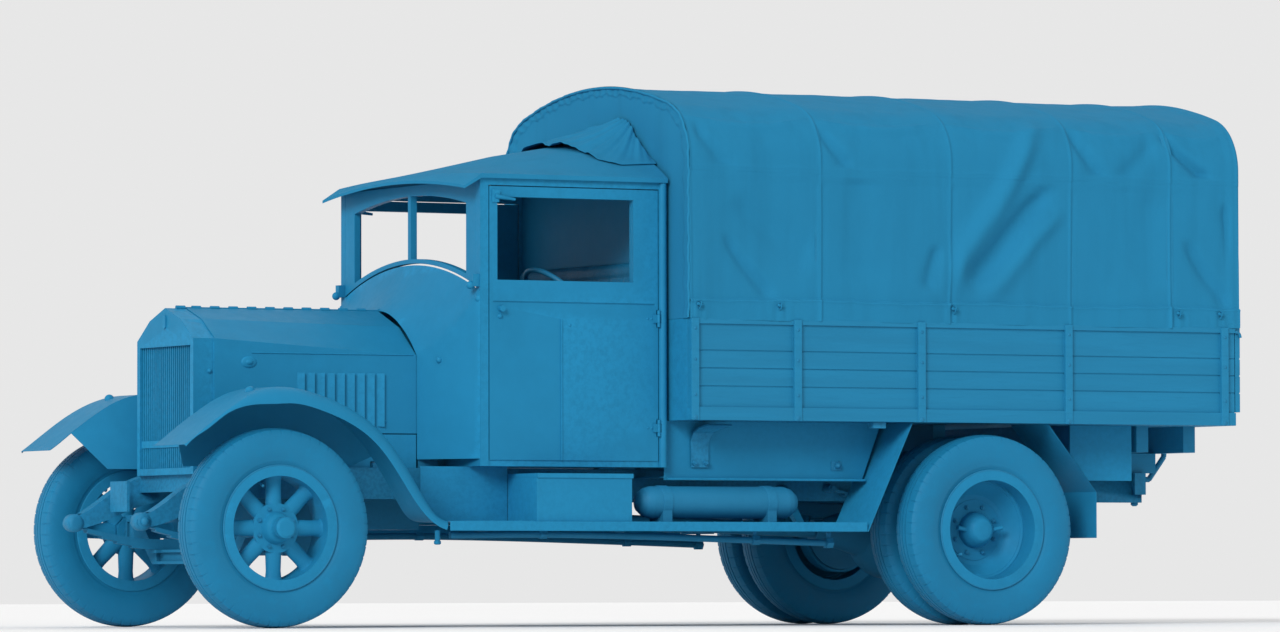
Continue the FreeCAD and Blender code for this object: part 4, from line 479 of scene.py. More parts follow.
def cloth_finish(name, colour, place_from_uv=True, weave=1.0):
    """Proofed cotton duck: a plain weave, faded patches, run marks that hang down and a dull sheen."""
    made = Finish(name, colour, 0.86)
    wear_and_shade = settings().paint.wear_and_shade
    if place_from_uv:
        place = made.node("ShaderNodeUVMap", uv_map="UVMap").outputs["UV"]
    else:
        place = made.object
    warp = made.wave(118.0 * weave, place, "X")
    weft = made.wave(118.0 * weave, place, "Y")
    slub = made.noise(1.0, 3.0, 0.6, made.stretched(place, (26.0, 380.0, 26.0)))
    faded = made.patches(1.3, 4.0, 0.35, 0.68, 0.55)
    runs = made.spread(made.noise(1.0, 4.0, 0.6, made.stretched(made.object, (9.0, 9.0, 0.7))), 0.48, 0.72)
    # Darker in folds and hollows: painted shade from the occlusion mask, which also stands for dust.
    dust_and_shade = made.times(made.hollow_shade(0.08), wear_and_shade)
    rub = made.times(made.edges(0.51, 0.56), 0.4 * wear_and_shade)
    made.tint((faded, 1.07), (made.times(runs, 0.6), 0.88), (made.times(slub, 0.35), 0.92),
              (dust_and_shade, 0.74), (rub, 1.25))
    made.gloss(faded, 0.78, 0.92)
    made.relief((made.noise(9.0, 4.0, 0.55), 0.0022), (made.times(warp, weft), 0.00035), (slub, 0.0002))
    made.shine(0.06)
    made.shader.inputs["Sheen Weight"].default_value = 0.005
    made.shader.inputs["Sheen Roughness"].default_value = 0.5
    return made.material


def leather_finish(name, colour, roughness):
    """Buttoned hide: small grain cells, creases, and a shine where it is sat on."""
    made = Finish(name, colour, roughness)
    grain = made.spread(made.cells(420.0), 0.0, 0.12)
    creases = made.spread(made.cells(28.0), 0.0, 0.08)
    cloud = made.patches(7.0, 3.0, 0.35, 0.7)
    made.tint((cloud, 0.86), (made.math("SUBTRACT", 1.0, creases), 0.82), (made.edges(), 1.2))
    made.gloss(cloud, roughness - 0.12, roughness + 0.1)
    made.relief((creases, 0.0004), (grain, 0.00022))
    made.shine(0.16)
    return made.material


def rubber_finish(name, colour, roughness):
    """Painted rubber: fine mould grain, scuffs round the tread, and painted shade that also stands for dust
    by the rim.
    """
    made = Finish(name, colour, roughness)
    scuff = made.patches(16.0, 5.0, 0.5, 0.72, 0.7)
    # Darker by the rim and in hollows: painted shade from the occlusion mask, which also stands for dust.
    dust_and_shade = made.times(made.hollow_shade(0.05), 0.5)
    rub = made.times(made.edges(), 0.35)
    cloud = made.patches(3.5, 3.0, 0.35, 0.65)
    made.tint((cloud, 0.92), (made.times(scuff, 0.5), 1.12), (dust_and_shade, 0.7), (rub, 1.25))
    made.gloss(scuff, roughness - 0.06, roughness + 0.12)
    made.relief((made.noise(60.0, 4.0, 0.7), 0.0005), (made.noise(420.0, 2.0), 0.00015))
    made.shine(0.22)
    return made.material


# The tilt

HOOPS = (0.256, -0.469, -1.208, -1.910, -2.500, -2.900)

# Slanting folds of the left side: start x and z, end x and z, half width, and depth as a part of the
# deepest one, outwards where it is positive.
LEFT_FOLDS = (
    (-1.79, 2.53, -1.15, 1.60, 0.060, 0.9), (-1.82, 2.17, -1.31, 1.68, 0.052, -1.1),
    (-1.88, 2.06, -1.38, 1.60, 0.050, 0.6), (-1.15, 1.87, -1.10, 1.64, 0.035, -0.5),
    (0.06, 1.90, -0.21, 1.58, 0.030, -0.5), (0.02, 2.08, -0.46, 1.76, 0.080, -0.5),
    (0.21, 2.44, 0.01, 2.20, 0.035, -0.45), (-0.48, 2.43, -0.66, 2.24, 0.030, -0.55),
    (-1.93, 2.47, -2.12, 2.20, 0.035, -0.6), (-2.44, 2.42, -2.20, 2.19, 0.042, -0.4),
    (-2.47, 2.46, -2.75, 2.21, 0.030, -0.9), (-2.59, 1.93, -2.86, 1.58, 0.036, -0.6),
    (-2.83, 2.12, -2.90, 1.82, 0.030, -0.5), (-0.70, 2.25, -0.72, 1.66, 0.11, -0.3),
    (-2.40, 2.16, -2.36, 1.66, 0.10, -0.3),
)
RIGHT_FOLDS = (
    (-0.46, 2.53, 0.12, 1.62, 0.060, -0.9), (-0.50, 2.30, 0.02, 1.60, 0.050, 0.6),
    (-1.23, 2.44, -1.62, 1.75, 0.070, -0.8), (-1.21, 2.40, -1.02, 2.16, 0.032, -0.5),
    (-1.93, 2.46, -1.70, 2.18, 0.040, -0.5), (-2.48, 2.44, -2.22, 2.10, 0.036, -0.6),
    (-2.52, 2.43, -2.82, 1.95, 0.045, -0.8), (-0.90, 2.20, -0.88, 1.62, 0.11, -0.35),
    (-2.15, 2.00, -2.40, 1.60, 0.040, -0.5),
)
POSTS = (0.229, -0.343, -1.044, -1.894, -2.817)
TOGGLES = (0.205, -0.242, -1.229, -2.544, -2.790)


def outline_arcs():
    """Height of the crown's centre, y and z of the shoulder's centre, the angle where the two arcs join,
    and the lengths of the crown's half and of the shoulder."""
    tilt = settings().tilt
    big, small = tilt.crown_radius, tilt.shoulder_radius
    base = tilt.top - big
    mid_y = tilt.half_width - small
    drop = math.sqrt((big - small) ** 2 - mid_y**2)
    join = math.atan2(mid_y, drop)
    return base, mid_y, base + drop, join, big * join, small * (math.pi / 2 - join)


def tilt_outline(along):
    """Places y and z and the outward direction on the tilt's outline, at a signed distance along the cloth
    from its ridge. It is an arc of the crown's radius, then one of the shoulder's, then a straight drop."""
    tilt = settings().tilt
    big, small = tilt.crown_radius, tilt.shoulder_radius
    base, mid_y, mid_z, join, on_crown, on_shoulder = outline_arcs()
    far = np.abs(along)
    angle = np.where(far < on_crown, far / big, np.minimum(join + (far - on_crown) / small, math.pi / 2))
    y = np.where(far < on_crown, big * np.sin(angle), mid_y + small * np.sin(angle))
    z = np.where(far < on_crown, base + big * np.cos(angle), mid_z + small * np.cos(angle))
    z = z - np.maximum(far - on_crown - on_shoulder, 0.0)
    side = np.sign(along)
    return y * side, z, np.sin(angle) * side, np.cos(angle)


def cloth_length(z):
    """The distance along the cloth from the ridge down to a height on the straight side."""
    mid_z, on_crown, on_shoulder = (outline_arcs()[k] for k in (2, 4, 5))
    return on_crown + on_shoulder + mid_z - z


def closer_lines(low, high, step, places, reach, fine):
    """Even steps with closer ones around some places."""
    near = [np.arange(place - reach, place + reach, fine) for place in places]
    lines = np.unique(np.clip(np.concatenate([np.arange(low, high, step)] + near + [[high]]), low, high))
    keep = np.concatenate([[True], np.diff(lines) > fine * 0.4])
    return lines[keep]


def fold_relief(x, z, folds):
    """The sum of the slanting folds: each is a bell across its line, faded in and out along it."""
    height = np.zeros_like(x)
    for x0, z0, x1, z1, width, depth in folds:
        length = math.hypot(x1 - x0, z1 - z0)
        ux, uz = (x1 - x0) / length, (z1 - z0) / length
        s = (x - x0) * ux + (z - z0) * uz
        off = (x - x0) * uz - (z - z0) * ux + 0.012 * np.sin(s * 9.0)
        ends = smooth_step(s / (0.22 * length) + 0.15) * smooth_step((length - s) / (0.22 * length) + 0.15)
        height += depth * ends * bell(off / (width * (0.75 + 0.5 * s / length)))
    return height


def ripple(x, s, seed, count=9, low=4.0, high=17.0):
    """Gentle unevenness: a sum of plane waves in set directions, about one part high."""
    rng = np.random.default_rng(seed)
    total = np.zeros_like(x)
    for _ in range(count):
        angle, pitch, shift = rng.uniform(0, math.pi), rng.uniform(low, high), rng.uniform(0, 6.28)
        total += np.sin((x * math.cos(angle) + s * math.sin(angle)) * pitch + shift)
    return total / math.sqrt(count)


def bay_place(x):
    """Where a place along the tilt lies in its bay, from 0 at one hoop to 1 at the next, and its length."""
    edges = np.asarray(HOOPS[::-1])
    i = np.clip(np.searchsorted(edges, x) - 1, 0, len(edges) - 2)
    return np.clip((x - edges[i]) / (edges[i + 1] - edges[i]), 0.0, 1.0), edges[i + 1] - edges[i]


def cover_relief(x, along):
    """How far the cover stands out of the tilt's outline.
    Between two hoops it hangs as a half sine, deepest between the ridge and the shoulder's crease; the
    folds, the long seam's step, the doubled hem and the hoop seams are added to that."""
    tilt = settings().tilt
    far = np.abs(along)
    u, bay = bay_place(x)
    hang = np.sin(math.pi * u) ** 0.75 * np.sqrt(bay / 0.72)
    crease = 0.905 + 0.052 * np.sin(math.pi * u)
    over_crown = np.sin(math.pi * np.clip(far / crease, 0, 1)) ** 0.6 * (0.5 + 0.9 * far / crease)
    below = 0.5 * np.exp(-np.maximum(far - crease, 0) / 0.35)
    height = -tilt.sag * hang * np.where(far < crease, over_crown, below)
    height += 0.012 * hang * bell((far - crease - 0.012) / 0.022)
    z = tilt_outline(along)[1]
    sides = smooth_step((far - 0.80) / 0.12)
    slack = 0.35 + 0.65 * smooth_step(u / 0.10) * smooth_step((1 - u) / 0.10)
    slanting = np.where(along > 0, fold_relief(x, z, LEFT_FOLDS), fold_relief(x, z, RIGHT_FOLDS))
    height += tilt.fold * slanting * sides * slack
    height += 0.0022 * ripple(x, along, 11) * (0.3 + 0.7 * np.sin(math.pi * u))
    height += 0.0010 * ripple(x, along, 12, 8, 22.0, 60.0) * np.sin(math.pi * u)
    for k, hoop in enumerate(HOOPS):
        lean = hoop + 0.007 * np.sin(2.6 * far + k) - 0.004
        height += 0.0045 * bell((x - lean) / 0.0065) - 0.0022 * bell((x - lean + 0.017) / 0.010)
    seam = cloth_length(tilt.seam) + 0.002 * np.sin(x * 23.0)
    height -= 0.0030 * smooth_step((far - seam) / 0.004 + 0.5)
    height += 0.0016 * bell((far - seam + 0.022) / 0.003)
    height = held_off(height, x, far, z)
    band = cloth_length(tilt.hem + tilt.hem_band) + 0.004 * np.sin(x * 6.0 + 1.0) + 0.002 * np.sin(x * 31.0)
    height += 0.0095 * smooth_step((far - band) / 0.005 + 0.5) + 0.0030 * bell((far - band - 0.006) / 0.005)
    foot = cloth_length(tilt.hem)
    pucker = sum(bell((x - t) / 0.07) for t in TOGGLES)
    in_band = smooth_step((far - band) / 0.03) * smooth_step((foot - far) / 0.02 + 0.4)
    height += 0.004 * pucker * np.sin(x * 120.0) * in_band
    height -= 0.0012 * smooth_step((far - foot + 0.014) / 0.008)
    height += 0.0035 * smooth_step((tilt.rear + 0.055 - x) / 0.004 + 0.5)
    return height


def held_off(height, x, far, z):
    """Keeps the sheet outside the hoops and battens that carry it: where low is the least that it may stand
    out, low + k * log(1 + e to the (height - low) / k)."""
    on_hoop = sum(bell((x - hoop) / 0.030) for hoop in HOOPS[1:-1]) + smooth_step((x - 0.19) / 0.02)
    on_hoop += smooth_step((-2.845 - x) / 0.015)
    on_batten = smooth_step((0.045 - np.abs(z - 2.203)) / 0.015) * (far > 0.9)
    on_batten = on_batten + smooth_step((0.055 - far) / 0.02)
    low = -0.0022 - 0.040 * (1.0 - np.clip(on_hoop + on_batten, 0.0, 1.0))
    k = 0.0022
    return low + k * np.logaddexp(0.0, (height - low) / k)


class LORRY_OT_tilt_cover(bpy.types.Operator):
    """The canvas over the hoops, as one sewn sheet that sags between them."""

    bl_idname = "lorry.tilt_cover"
    bl_label = "Tilt cover"

    def execute(self, context):
        tilt = settings().tilt
        foot = cloth_length(tilt.hem)
        seam, band = cloth_length(tilt.seam), cloth_length(tilt.hem + tilt.hem_band)
        xs = closer_lines(tilt.rear, tilt.front, 0.0165, HOOPS, 0.028, 0.0045)
        side = closer_lines(0.0, foot, 0.0170, (seam - 0.010, band, 0.92), 0.020, 0.0042)
        around = np.concatenate([-side[:0:-1], side])
        x, along = np.meshgrid(xs, around, indexing="ij")
        height = cover_relief(x, along)
        y, z, out_y, out_z = tilt_outline(along)
        past_post = np.min([np.abs(x - post) for post in POSTS], axis=0)
        drop = 0.0065 * smooth_step((past_post - 0.028) / 0.02) * (x < 0.19) * (x > -2.80)
        drop = drop + 0.0008 + 0.0008 * np.sin(x * 17.0)
        z = z + out_z * height - drop * smooth_step((np.abs(along) - foot + 0.03) / 0.03)
        points = stacked(x, y + out_y * height, z)
        piece = grid_piece("tilt_cover", points, flip=True, uv=stacked(x, along))
        return finished(piece, "canvas", "chassis", "canvas", "tilt_canvas")


class LORRY_OT_tilt_front(bpy.types.Operator):
    """The tilt's front wall, laced into the first hoop, with a hem that gathers round the arch."""

    bl_idname = "lorry.tilt_front"
    bl_label = "Tilt front wall"

    def execute(self, context):
        tilt = settings().tilt
        foot = cloth_length(tilt.hem)
        along = np.linspace(-foot, foot, 361)
        y, z, out_y, out_z = tilt_outline(along)
        wavy = 0.010 * np.sin(along * 37.0) + 0.006 * np.sin(along * 83.0 + 1.0)
        depth = np.concatenate([np.linspace(0.0, 0.09, 16), np.linspace(0.12, 1.0, 26)])
        mid_z = tilt.hem + 0.50
        d, a = np.meshgrid(depth, np.arange(len(along)), indexing="ij")
        edge_y, edge_z = y[a], z[a]
        gather = wavy[a] * bell((d - 0.05) / 0.05)
        py = edge_y * (1 - d) - out_y[a] * gather * 0.5
        pz = edge_z + (np.minimum(edge_z, mid_z) - edge_z) * d - out_z[a] * gather * 0.5
        above = smooth_step((pz - 2.30) / 0.12)
        folded = 0.0045 * (1.0 - smooth_step((d - 0.060 - 0.25 * wavy[a]) / 0.008 + 0.5))
        crumple = 0.0030 * np.sin(along[a] * 95.0 + 9.0 * d) * bell((d - 0.03) / 0.035)
        waves = np.sin(py * 3.4 + 0.6) * np.sin(pz * 5.0) + 0.24 * ripple(py, pz, 21, 7, 5.0, 14.0)
        billow = 0.012 * above * waves
        px = tilt.front - 0.004 + folded + crumple * above + billow * smooth_step(d / 0.2)
        piece = grid_piece("tilt_front_wall", stacked(px, py, pz), uv=stacked(py, pz))
        return finished(piece, "canvas", "chassis", "canvas", "tilt_canvas")
# Tyres

WHEEL_Z = 0.470
FRONT_X, REAR_X = 2.420, -1.436
FRONT_Y, REAR_Y = 0.835, (0.906, 0.651)
TYRE_RADIUS, TYRE_HALF = 0.470, 0.093
TREAD_HALF = 0.072
WALL = (
    (0.0747, 0.2545), (0.0747, 0.299), (0.0835, 0.322), (0.0905, 0.350),
    (0.0925, 0.382), (0.0895, 0.415), (0.083, 0.441), (TREAD_HALF, 0.459),
)
GROOVES = (-0.026, 0.0, 0.026)
GROOVE_HALF = 0.003


def tyre_section():
    """Half of the tyre's outline from the bead to the middle of the tread, as rows of (across, radius).
    The wall is a smooth curve from the bead over the rim's edge and the widest place to the shoulder.
    The tread then rises as a shallow arc, radius = 0.470 less 0.011 times (across / half tread) squared."""
    wall = curve_through([(w, r, 0.0) for w, r in WALL], 26)[:, :2]
    stops = [0.062, 0.052, 0.042]
    for middle in (GROOVES[2], GROOVES[1]):
        stops += [middle + GROOVE_HALF + 0.0006, middle + GROOVE_HALF - 0.0006]
        stops += [middle - GROOVE_HALF + 0.0006, middle - GROOVE_HALF - 0.0006, middle - 0.012]
    across = np.array([s for s in stops if s > -1e-9])
    tread = stacked(across, tread_radius(across))
    return np.concatenate([wall, tread])


def tread_radius(across):
    """Radius of the tread's surface without its grooves."""
    return TYRE_RADIUS - 0.011 * (across / TREAD_HALF) ** 2


def tyre_points(x, y, inwards):
    """Points of one tyre. Round the axle each block has eight columns; the last ones are its cross groove.
    Grooves lower the radius where |across - groove| < 3 mm; cross grooves do so from 40 mm out to the wall,
    and two thin raised lines run round the wall."""
    tyre = settings().tyre
    half = tyre_section()
    section = np.concatenate([half, half[::-1] * (-1.0, 1.0)])
    across, radius = section[:, 0], section[:, 1]
    turns = np.arange(tyre.blocks)[:, None]
    steps = np.array([0.0, 0.14, 0.42, 0.70, 0.82, 0.84, 0.96, 0.98])[None, :]
    angle = ((turns + steps) / tyre.blocks * 2.0 * math.pi).ravel()
    notch = np.tile((steps.ravel() > 0.83) & (steps.ravel() < 0.97), tyre.blocks)
    in_groove = [np.abs(across - middle) < GROOVE_HALF for middle in GROOVES]
    rib = np.any(in_groove, axis=0) * (radius > 0.45)
    out = smooth_step((np.abs(across) - 0.040) / 0.004) * smooth_step((radius - 0.425) / 0.02)
    ring = bell((radius - 0.315) / 0.004) * 0.0016 + bell((radius - 0.402) / 0.003) * 0.0012
    depth = np.maximum(rib[:, None], 0.45 * out[:, None] * notch[None, :]) * tyre.groove
    normal_out = smooth_step((radius - 0.430) / 0.03)
    r = radius[:, None] - depth * (0.35 + 0.65 * normal_out[:, None])
    side = np.sign(across) * (np.abs(across) + ring)
    w = side[:, None] - np.sign(across)[:, None] * depth * 0.5 * (1.0 - normal_out[:, None])
    w = np.clip(w, -TYRE_HALF, TYRE_HALF)
    return stacked(x + r * np.sin(angle), y + inwards * w, WHEEL_Z + r * np.cos(angle))


def tyre_piece(name, rings):
    """One object from the tyres of one wheel or pair; each ring is a closed tube of points."""
    parts = []
    for x, y, side in rings:
        points = tyre_points(x, y, side)
        rows, columns = points.shape[:2]
        faces = grid_faces(rows, columns, around=True, along=True)
        parts.append((points.reshape(-1, 3), faces))
    piece = merged(name, parts)
    edges = piece.modifiers.new("Edges", "WEIGHTED_NORMAL")
    edges.keep_sharp = True
    return piece


class LORRY_OT_front_tyres(bpy.types.Operator):
    """The two front tyres: a smooth wall curve turned round the axle, with grooves cut into its tread."""

    bl_idname = "lorry.front_tyres"
    bl_label = "Front tyres"

    def execute(self, context):
        for name, side in SIDES:
            piece = tyre_piece("tyre_front_" + name, [(FRONT_X, side * FRONT_Y, side)])
            finished(piece, "rubber", "front_road_wheel_" + name, "tyre_rubber", "front_tyre_" + name)
        return {"FINISHED"}


class LORRY_OT_rear_tyres(bpy.types.Operator):
    """The twin rear tyres of both sides, each turned from the same section as the front ones."""

    bl_idname = "lorry.rear_tyres"
    bl_label = "Rear tyres"

    def execute(self, context):
        for name, side in SIDES:
            piece = tyre_piece("tyres_rear_" + name, [(REAR_X, side * y, side) for y in REAR_Y])
            finished(piece, "rubber", "rear_road_wheels_" + name, "tyre_rubber", "rear_tyres_" + name)
        return {"FINISHED"}


# Loose cloths

ROOF_EDGE_Z, ROOF_HALF = 2.172, 0.775
ROLL_X, ROLL_Z = -2.858, 2.331
STRAPS = (-0.45, 0.45)


def roof_height(x, y):
    """Height of the cab roof's upper face: at each place along it an arc from the edge to the crown."""
    crown = np.interp(x, (0.270, 0.800, 1.285), (2.400, 2.310, 2.197))
    return crown - (crown - ROOF_EDGE_Z) * (y / ROOF_HALF) ** 2


def humps(y, rows):
    """A sum of bells; each row is the height, the middle and the width of one."""
    return sum(height * bell((y - middle) / width) for height, middle, width in rows)


def roof_cloth_points(s, t):
    """The heap of cloth on the rear of the roof. s runs across it and t from the tilt out to its free edge.
    It falls from a peaked line on the tilt as (1 - t) to the 1.5, rests on the roof, and its edge is lifted
    into hollows; folds fan out from the peak as waves of the angle round it."""
    y = -0.52 + 1.16 * s
    reach = 0.20 + 0.11 * np.sin(math.pi * s) ** 0.5 + 0.012 * np.sin(s * 23.0)
    x = 0.262 + reach * t + 0.006 * np.sin(s * 31.0 + 4.0 * t)
    peak = humps(y, ((0.115, 0.33, 0.17), (0.050, 0.02, 0.20), (0.045, -0.30, 0.16)))
    ends = np.sin(math.pi * np.clip(s, 0.0, 1.0)) ** 0.35
    fall = (1.0 - t) ** 1.5
    fan = np.arctan2(y - 0.33, x - 0.20)
    folds = 0.007 * np.sin(fan * 17.0 + 1.0) + 0.0035 * np.sin(fan * 41.0)
    folds += 0.004 * ripple(x * 3.0, y * 3.0, 31)
    edge = humps(y, ((0.026, 0.24, 0.085), (0.016, -0.06, 0.10), (0.007, 0.47, 0.05)))
    lift = (0.008 + peak * fall + folds * (0.5 + 0.5 * fall) + edge * t**2) * ends
    return stacked(x, y, roof_height(x, y) + 0.005 + np.maximum(lift, 0.0))


class LORRY_OT_roof_cloth(bpy.types.Operator):
    """The cloth that lies folded on the rear of the roof, against the tilt."""

    bl_idname = "lorry.roof_cloth"
    bl_label = "Roof cloth"

    def execute(self, context):
        s, t = np.meshgrid(np.linspace(0.0, 1.0, 190), np.linspace(0.0, 1.0, 64), indexing="ij")
        points = roof_cloth_points(s, t)
        piece = grid_piece("roof_cloth_heap", points, uv=points[:, :, :2])
        hem = piece.modifiers.new("Cloth", "SOLIDIFY")
        hem.thickness = 0.003
        hem.offset = 1.0
        return finished(piece, "canvas", "chassis", "canvas", "roof_cloth")


class LORRY_OT_rear_curtain(bpy.types.Operator):
    """The rear curtain, rolled up under the last hoop: a spiral whose radius grows evenly, and then a
    hanging end that runs up to the hoop. The roll is drawn in by its two straps."""

    bl_idname = "lorry.rear_curtain"
    bl_label = "Rear curtain"

    def execute(self, context):
        half = 0.895
        y = np.linspace(-half, half, 181)
        turn = np.linspace(0.0, 4.5 * math.pi, 110)[:, None]
        wound = turn / turn[-1]
        rise = np.linspace(0.0, 1.0, 18)[1:, None]
        drawn_in = sum(bell((y - place) / 0.035) for place in STRAPS)
        loose = 1.0 - 0.22 * drawn_in + 0.030 * np.sin(y * 21.0) + 0.018 * np.sin(y * 47.0 + 1.0)
        radius = (0.018 + 0.0245 * wound) * (1.0 + (loose - 1.0) * wound)
        radius = radius * (1.0 + 0.05 * np.sin(3.0 * turn + 5.0 * y))
        angle = turn + math.pi * 0.75 + 0.10 * np.sin(y * 9.0)
        roll_x = ROLL_X + radius * np.cos(angle)
        roll_z = ROLL_Z - 0.008 * np.sin(math.pi * (y + half) / (2.0 * half)) + radius * np.sin(angle)
        top = np.minimum(tilt_top(y), 2.630) - 0.018
        hang_x = roll_x[-1] + (-2.884 - roll_x[-1]) * smooth_step(rise * 1.6)
        hang_x = hang_x + 0.004 * np.sin(y * 14.0) * np.sin(math.pi * rise)
        hang_z = roll_z[-1] + (top - roll_z[-1]) * rise
        px = np.concatenate([roll_x, hang_x])
        pz = np.concatenate([roll_z, hang_z])
        length = np.concatenate([[0.0], np.cumsum(np.hypot(np.diff(px[:, 90]), np.diff(pz[:, 90])))])
        piece = grid_piece("rear_curtain", stacked(px, y, pz), uv=stacked(y, length[:, None]))
        finished(piece, "canvas", "chassis", "canvas", "rolled_curtain")
        a = circle(40)
        section = np.array([(0.040, -0.014), (0.0425, -0.013), (0.0425, 0.013), (0.040, 0.014)])
        px = ROLL_X + section[:, :1] * np.cos(a)
        pz = ROLL_Z - 0.006 + 1.04 * section[:, :1] * np.sin(a)
        faces = grid_faces(len(section), len(a), around=True, along=True)
        parts = []
        for place in STRAPS:
            parts.append((stacked(px, place + section[:, 1:], pz).reshape(-1, 3), faces))
        return finished(merged("curtain_straps", parts), "leather", "chassis", "canvas")


def tilt_top(y):
    """Height of the tilt's outline over a place across it."""
    along = np.linspace(0.0, cloth_length(2.2), 400)
    across, height = tilt_outline(along)[:2]
    return np.interp(np.abs(y), across, height)


# Seat

SEAT_PITCH = 0.130
SEAT_CELL = 0.011
SEAT_CAP = 0.024
SEAT_HALF = 0.644


def closed_block(name, outline):
    """A closed block: an outline of (x, z) corners drawn out over the bench's width, and voxel remeshed."""
    n = len(outline)
    points = [(x, y, z) for y in (-SEAT_HALF, SEAT_HALF) for x, z in outline]
    mesh = bpy.data.meshes.new(name)
    sides = [(k, (k + 1) % n, (k + 1) % n + n, k + n) for k in range(n)]
    mesh.from_pydata(points, [], sides + [tuple(reversed(range(n))), tuple(range(n, 2 * n))])
    mesh.update()
    piece = bpy.data.objects.new(name, mesh)
    bpy.context.scene.collection.objects.link(piece)
    remesh = piece.modifiers.new("Cells", "REMESH")
    remesh.mode = "VOXEL"
    remesh.voxel_size = SEAT_CELL
    apply_modifiers(piece)
    return piece


def apply_modifiers(piece):
    """Writes a piece's modifiers into its mesh and takes them away."""
    view = piece.evaluated_get(bpy.context.evaluated_depsgraph_get())
    solid = bpy.data.meshes.new_from_object(view)
    piece.modifiers.clear()
    piece.data = solid
    solid.polygons.foreach_set("use_smooth", np.full(len(solid.polygons), True))


def coordinates(piece):
    """The mesh's points as rows of xyz."""
    flat = np.empty(len(piece.data.vertices) * 3)
    piece.data.vertices.foreach_get("co", flat)
    return flat.reshape(-1, 3)


def swell(piece, held):
    """Blows a pad up as cloth: pressure 4 from inside, no gravity, 20 frames, and the held points stay.
    The move of each point is then cut to the cap by scaling it with cap / (cap + length)."""
    start = coordinates(piece)
    group = piece.vertex_groups.new(name="held")
    group.add(np.flatnonzero(held).tolist(), 1.0, "REPLACE")
    cloth = piece.modifiers.new("Pad", "CLOTH")
    cloth.settings.use_pressure = True
    cloth.settings.uniform_pressure_force = 4.0
    cloth.settings.vertex_group_mass = "held"
    cloth.settings.effector_weights.gravity = 0.0
    cloth.settings.quality = 4
    cloth.collision_settings.use_collision = False
    cloth.point_cache.frame_start, cloth.point_cache.frame_end = 1, 20
    scene = bpy.context.scene
    for frame_number in range(1, 21):
        scene.frame_set(frame_number)
    apply_modifiers(piece)
    scene.frame_set(1)
    piece.vertex_groups.clear()
    move = coordinates(piece) - start
    length = np.linalg.norm(move, axis=1)[:, None]
    piece.data.vertices.foreach_set("co", (start + move * SEAT_CAP / (SEAT_CAP + length)).ravel())
    piece.data.update()
    rounder = piece.modifiers.new("Rounder", "SUBSURF")
    rounder.levels = rounder.render_levels = 1


def seam_mask(points):
    """True near the sewn channels, which lie one pitch apart across the seat, and at the two ends."""
    offset = (points[:, 1] + SEAT_PITCH / 2) % SEAT_PITCH
    near = np.minimum(offset, SEAT_PITCH - offset) < SEAT_CELL * 0.55
    return near | (np.abs(points[:, 1]) > SEAT_HALF - SEAT_CELL * 0.6)


def sink(piece, mask, way, depth):
    """Moves the masked points along a way, to draw the seams in before the pad is blown up."""
    points = coordinates(piece)
    points[mask] += np.asarray(way) * depth
    piece.data.vertices.foreach_set("co", points.ravel())


class LORRY_OT_seat_cushion(bpy.types.Operator):
    """The bench cushion: a block with sewn channels from front to back, swollen as cloth between them."""

    bl_idname = "lorry.seat_cushion"
    bl_label = "Seat cushion"

    def execute(self, context):
        foot, welt = 1.0815, 1.145
        outline = [(0.358, foot), (0.822, foot), (0.822, 1.185),
                   (0.800, 1.205), (0.370, 1.205), (0.358, 1.19)]
        piece = closed_block("seat_cushion_pad", outline)
        x, y, z = coordinates(piece).T
        seams = seam_mask(coordinates(piece))
        fixed = (z < foot + SEAT_CELL * 0.6) | (np.abs(z - welt) < SEAT_CELL * 0.55) & (x > 0.81)
        sink(piece, seams & (z > 1.17) & (np.abs(y) < SEAT_HALF - 0.02), (0, 0, -1), 0.007)
        swell(piece, seams & (z > 1.14) | fixed)
        return finished(piece, "leather", "chassis", "seat_leather", "seat_cushion")


class LORRY_OT_seat_back(bpy.types.Operator):
    """The squab: a leaning block with upright sewn channels and a rolled top, swollen as cloth."""

    bl_idname = "lorry.seat_back"
    bl_label = "Seat back"

    def execute(self, context):
        rear, foot, roll = 0.2945, 1.240, 1.70
        outline = [(rear, foot), (0.405, foot), (0.342, 1.755),
                   (0.325, 1.778), (0.305, 1.778), (rear, 1.765)]
        piece = closed_block("seat_back_pad", outline)
        x, y, z = coordinates(piece).T
        seams = seam_mask(coordinates(piece))
        fixed = (x < rear + SEAT_CELL * 0.6) | (z < foot + SEAT_CELL * 0.6)
        in_roll = np.abs(z - roll) < SEAT_CELL * 0.55
        sink(piece, (seams & (z < roll) | in_roll) & ~fixed, (-1, 0, 0), 0.006)
        swell(piece, seams & (z < roll + 0.01) | fixed | in_roll)
        return finished(piece, "leather", "chassis", "seat_leather", "seat_back")


# Wheels

SPOKES = 8
SPOKE_RADII = (0.068, 0.088, 0.112, 0.200, 0.232, 0.2455)
SPOKE_WIDTHS = (0.050, 0.043, 0.0400, 0.0370, 0.0400, 0.0480)
SPOKE_DEPTHS = (0.0320, 0.0318, 0.0300, 0.0250, 0.0275, 0.0330)


def spoke_casing(x, y, turn):
    """One cast spoke round its arm: ellipses across the spoke, wide at the hub, narrow in the middle and
    flared again where they run into the rim. The first and last ellipses close on the spoke's middle."""
    radii = np.linspace(SPOKE_RADII[0], SPOKE_RADII[-1], 20)
    radii = np.concatenate([radii[:1], radii, radii[-1:]])
    size = np.ones(len(radii))
    size[[0, -1]] = 0.0
    wide = size * np.interp(radii, SPOKE_RADII, SPOKE_WIDTHS)
    deep = size * np.interp(radii, SPOKE_RADII, SPOKE_DEPTHS)
    a = circle(24)
    r, w = radii[:, None], wide[:, None] * np.cos(a)
    px = x + r * math.sin(turn) + w * math.cos(turn)
    py = y + deep[:, None] * np.sin(a)
    pz = WHEEL_Z + r * math.cos(turn) - w * math.sin(turn)
    return stacked(px, py, pz).reshape(-1, 3), grid_faces(len(radii), len(a), around=True)


def round_axle(x, y, radius, turn):
    """The point at a radius round a wheel's axle; turn goes from the top forwards."""
    return np.array((x + radius * math.sin(turn), y, WHEEL_Z + radius * math.cos(turn)))


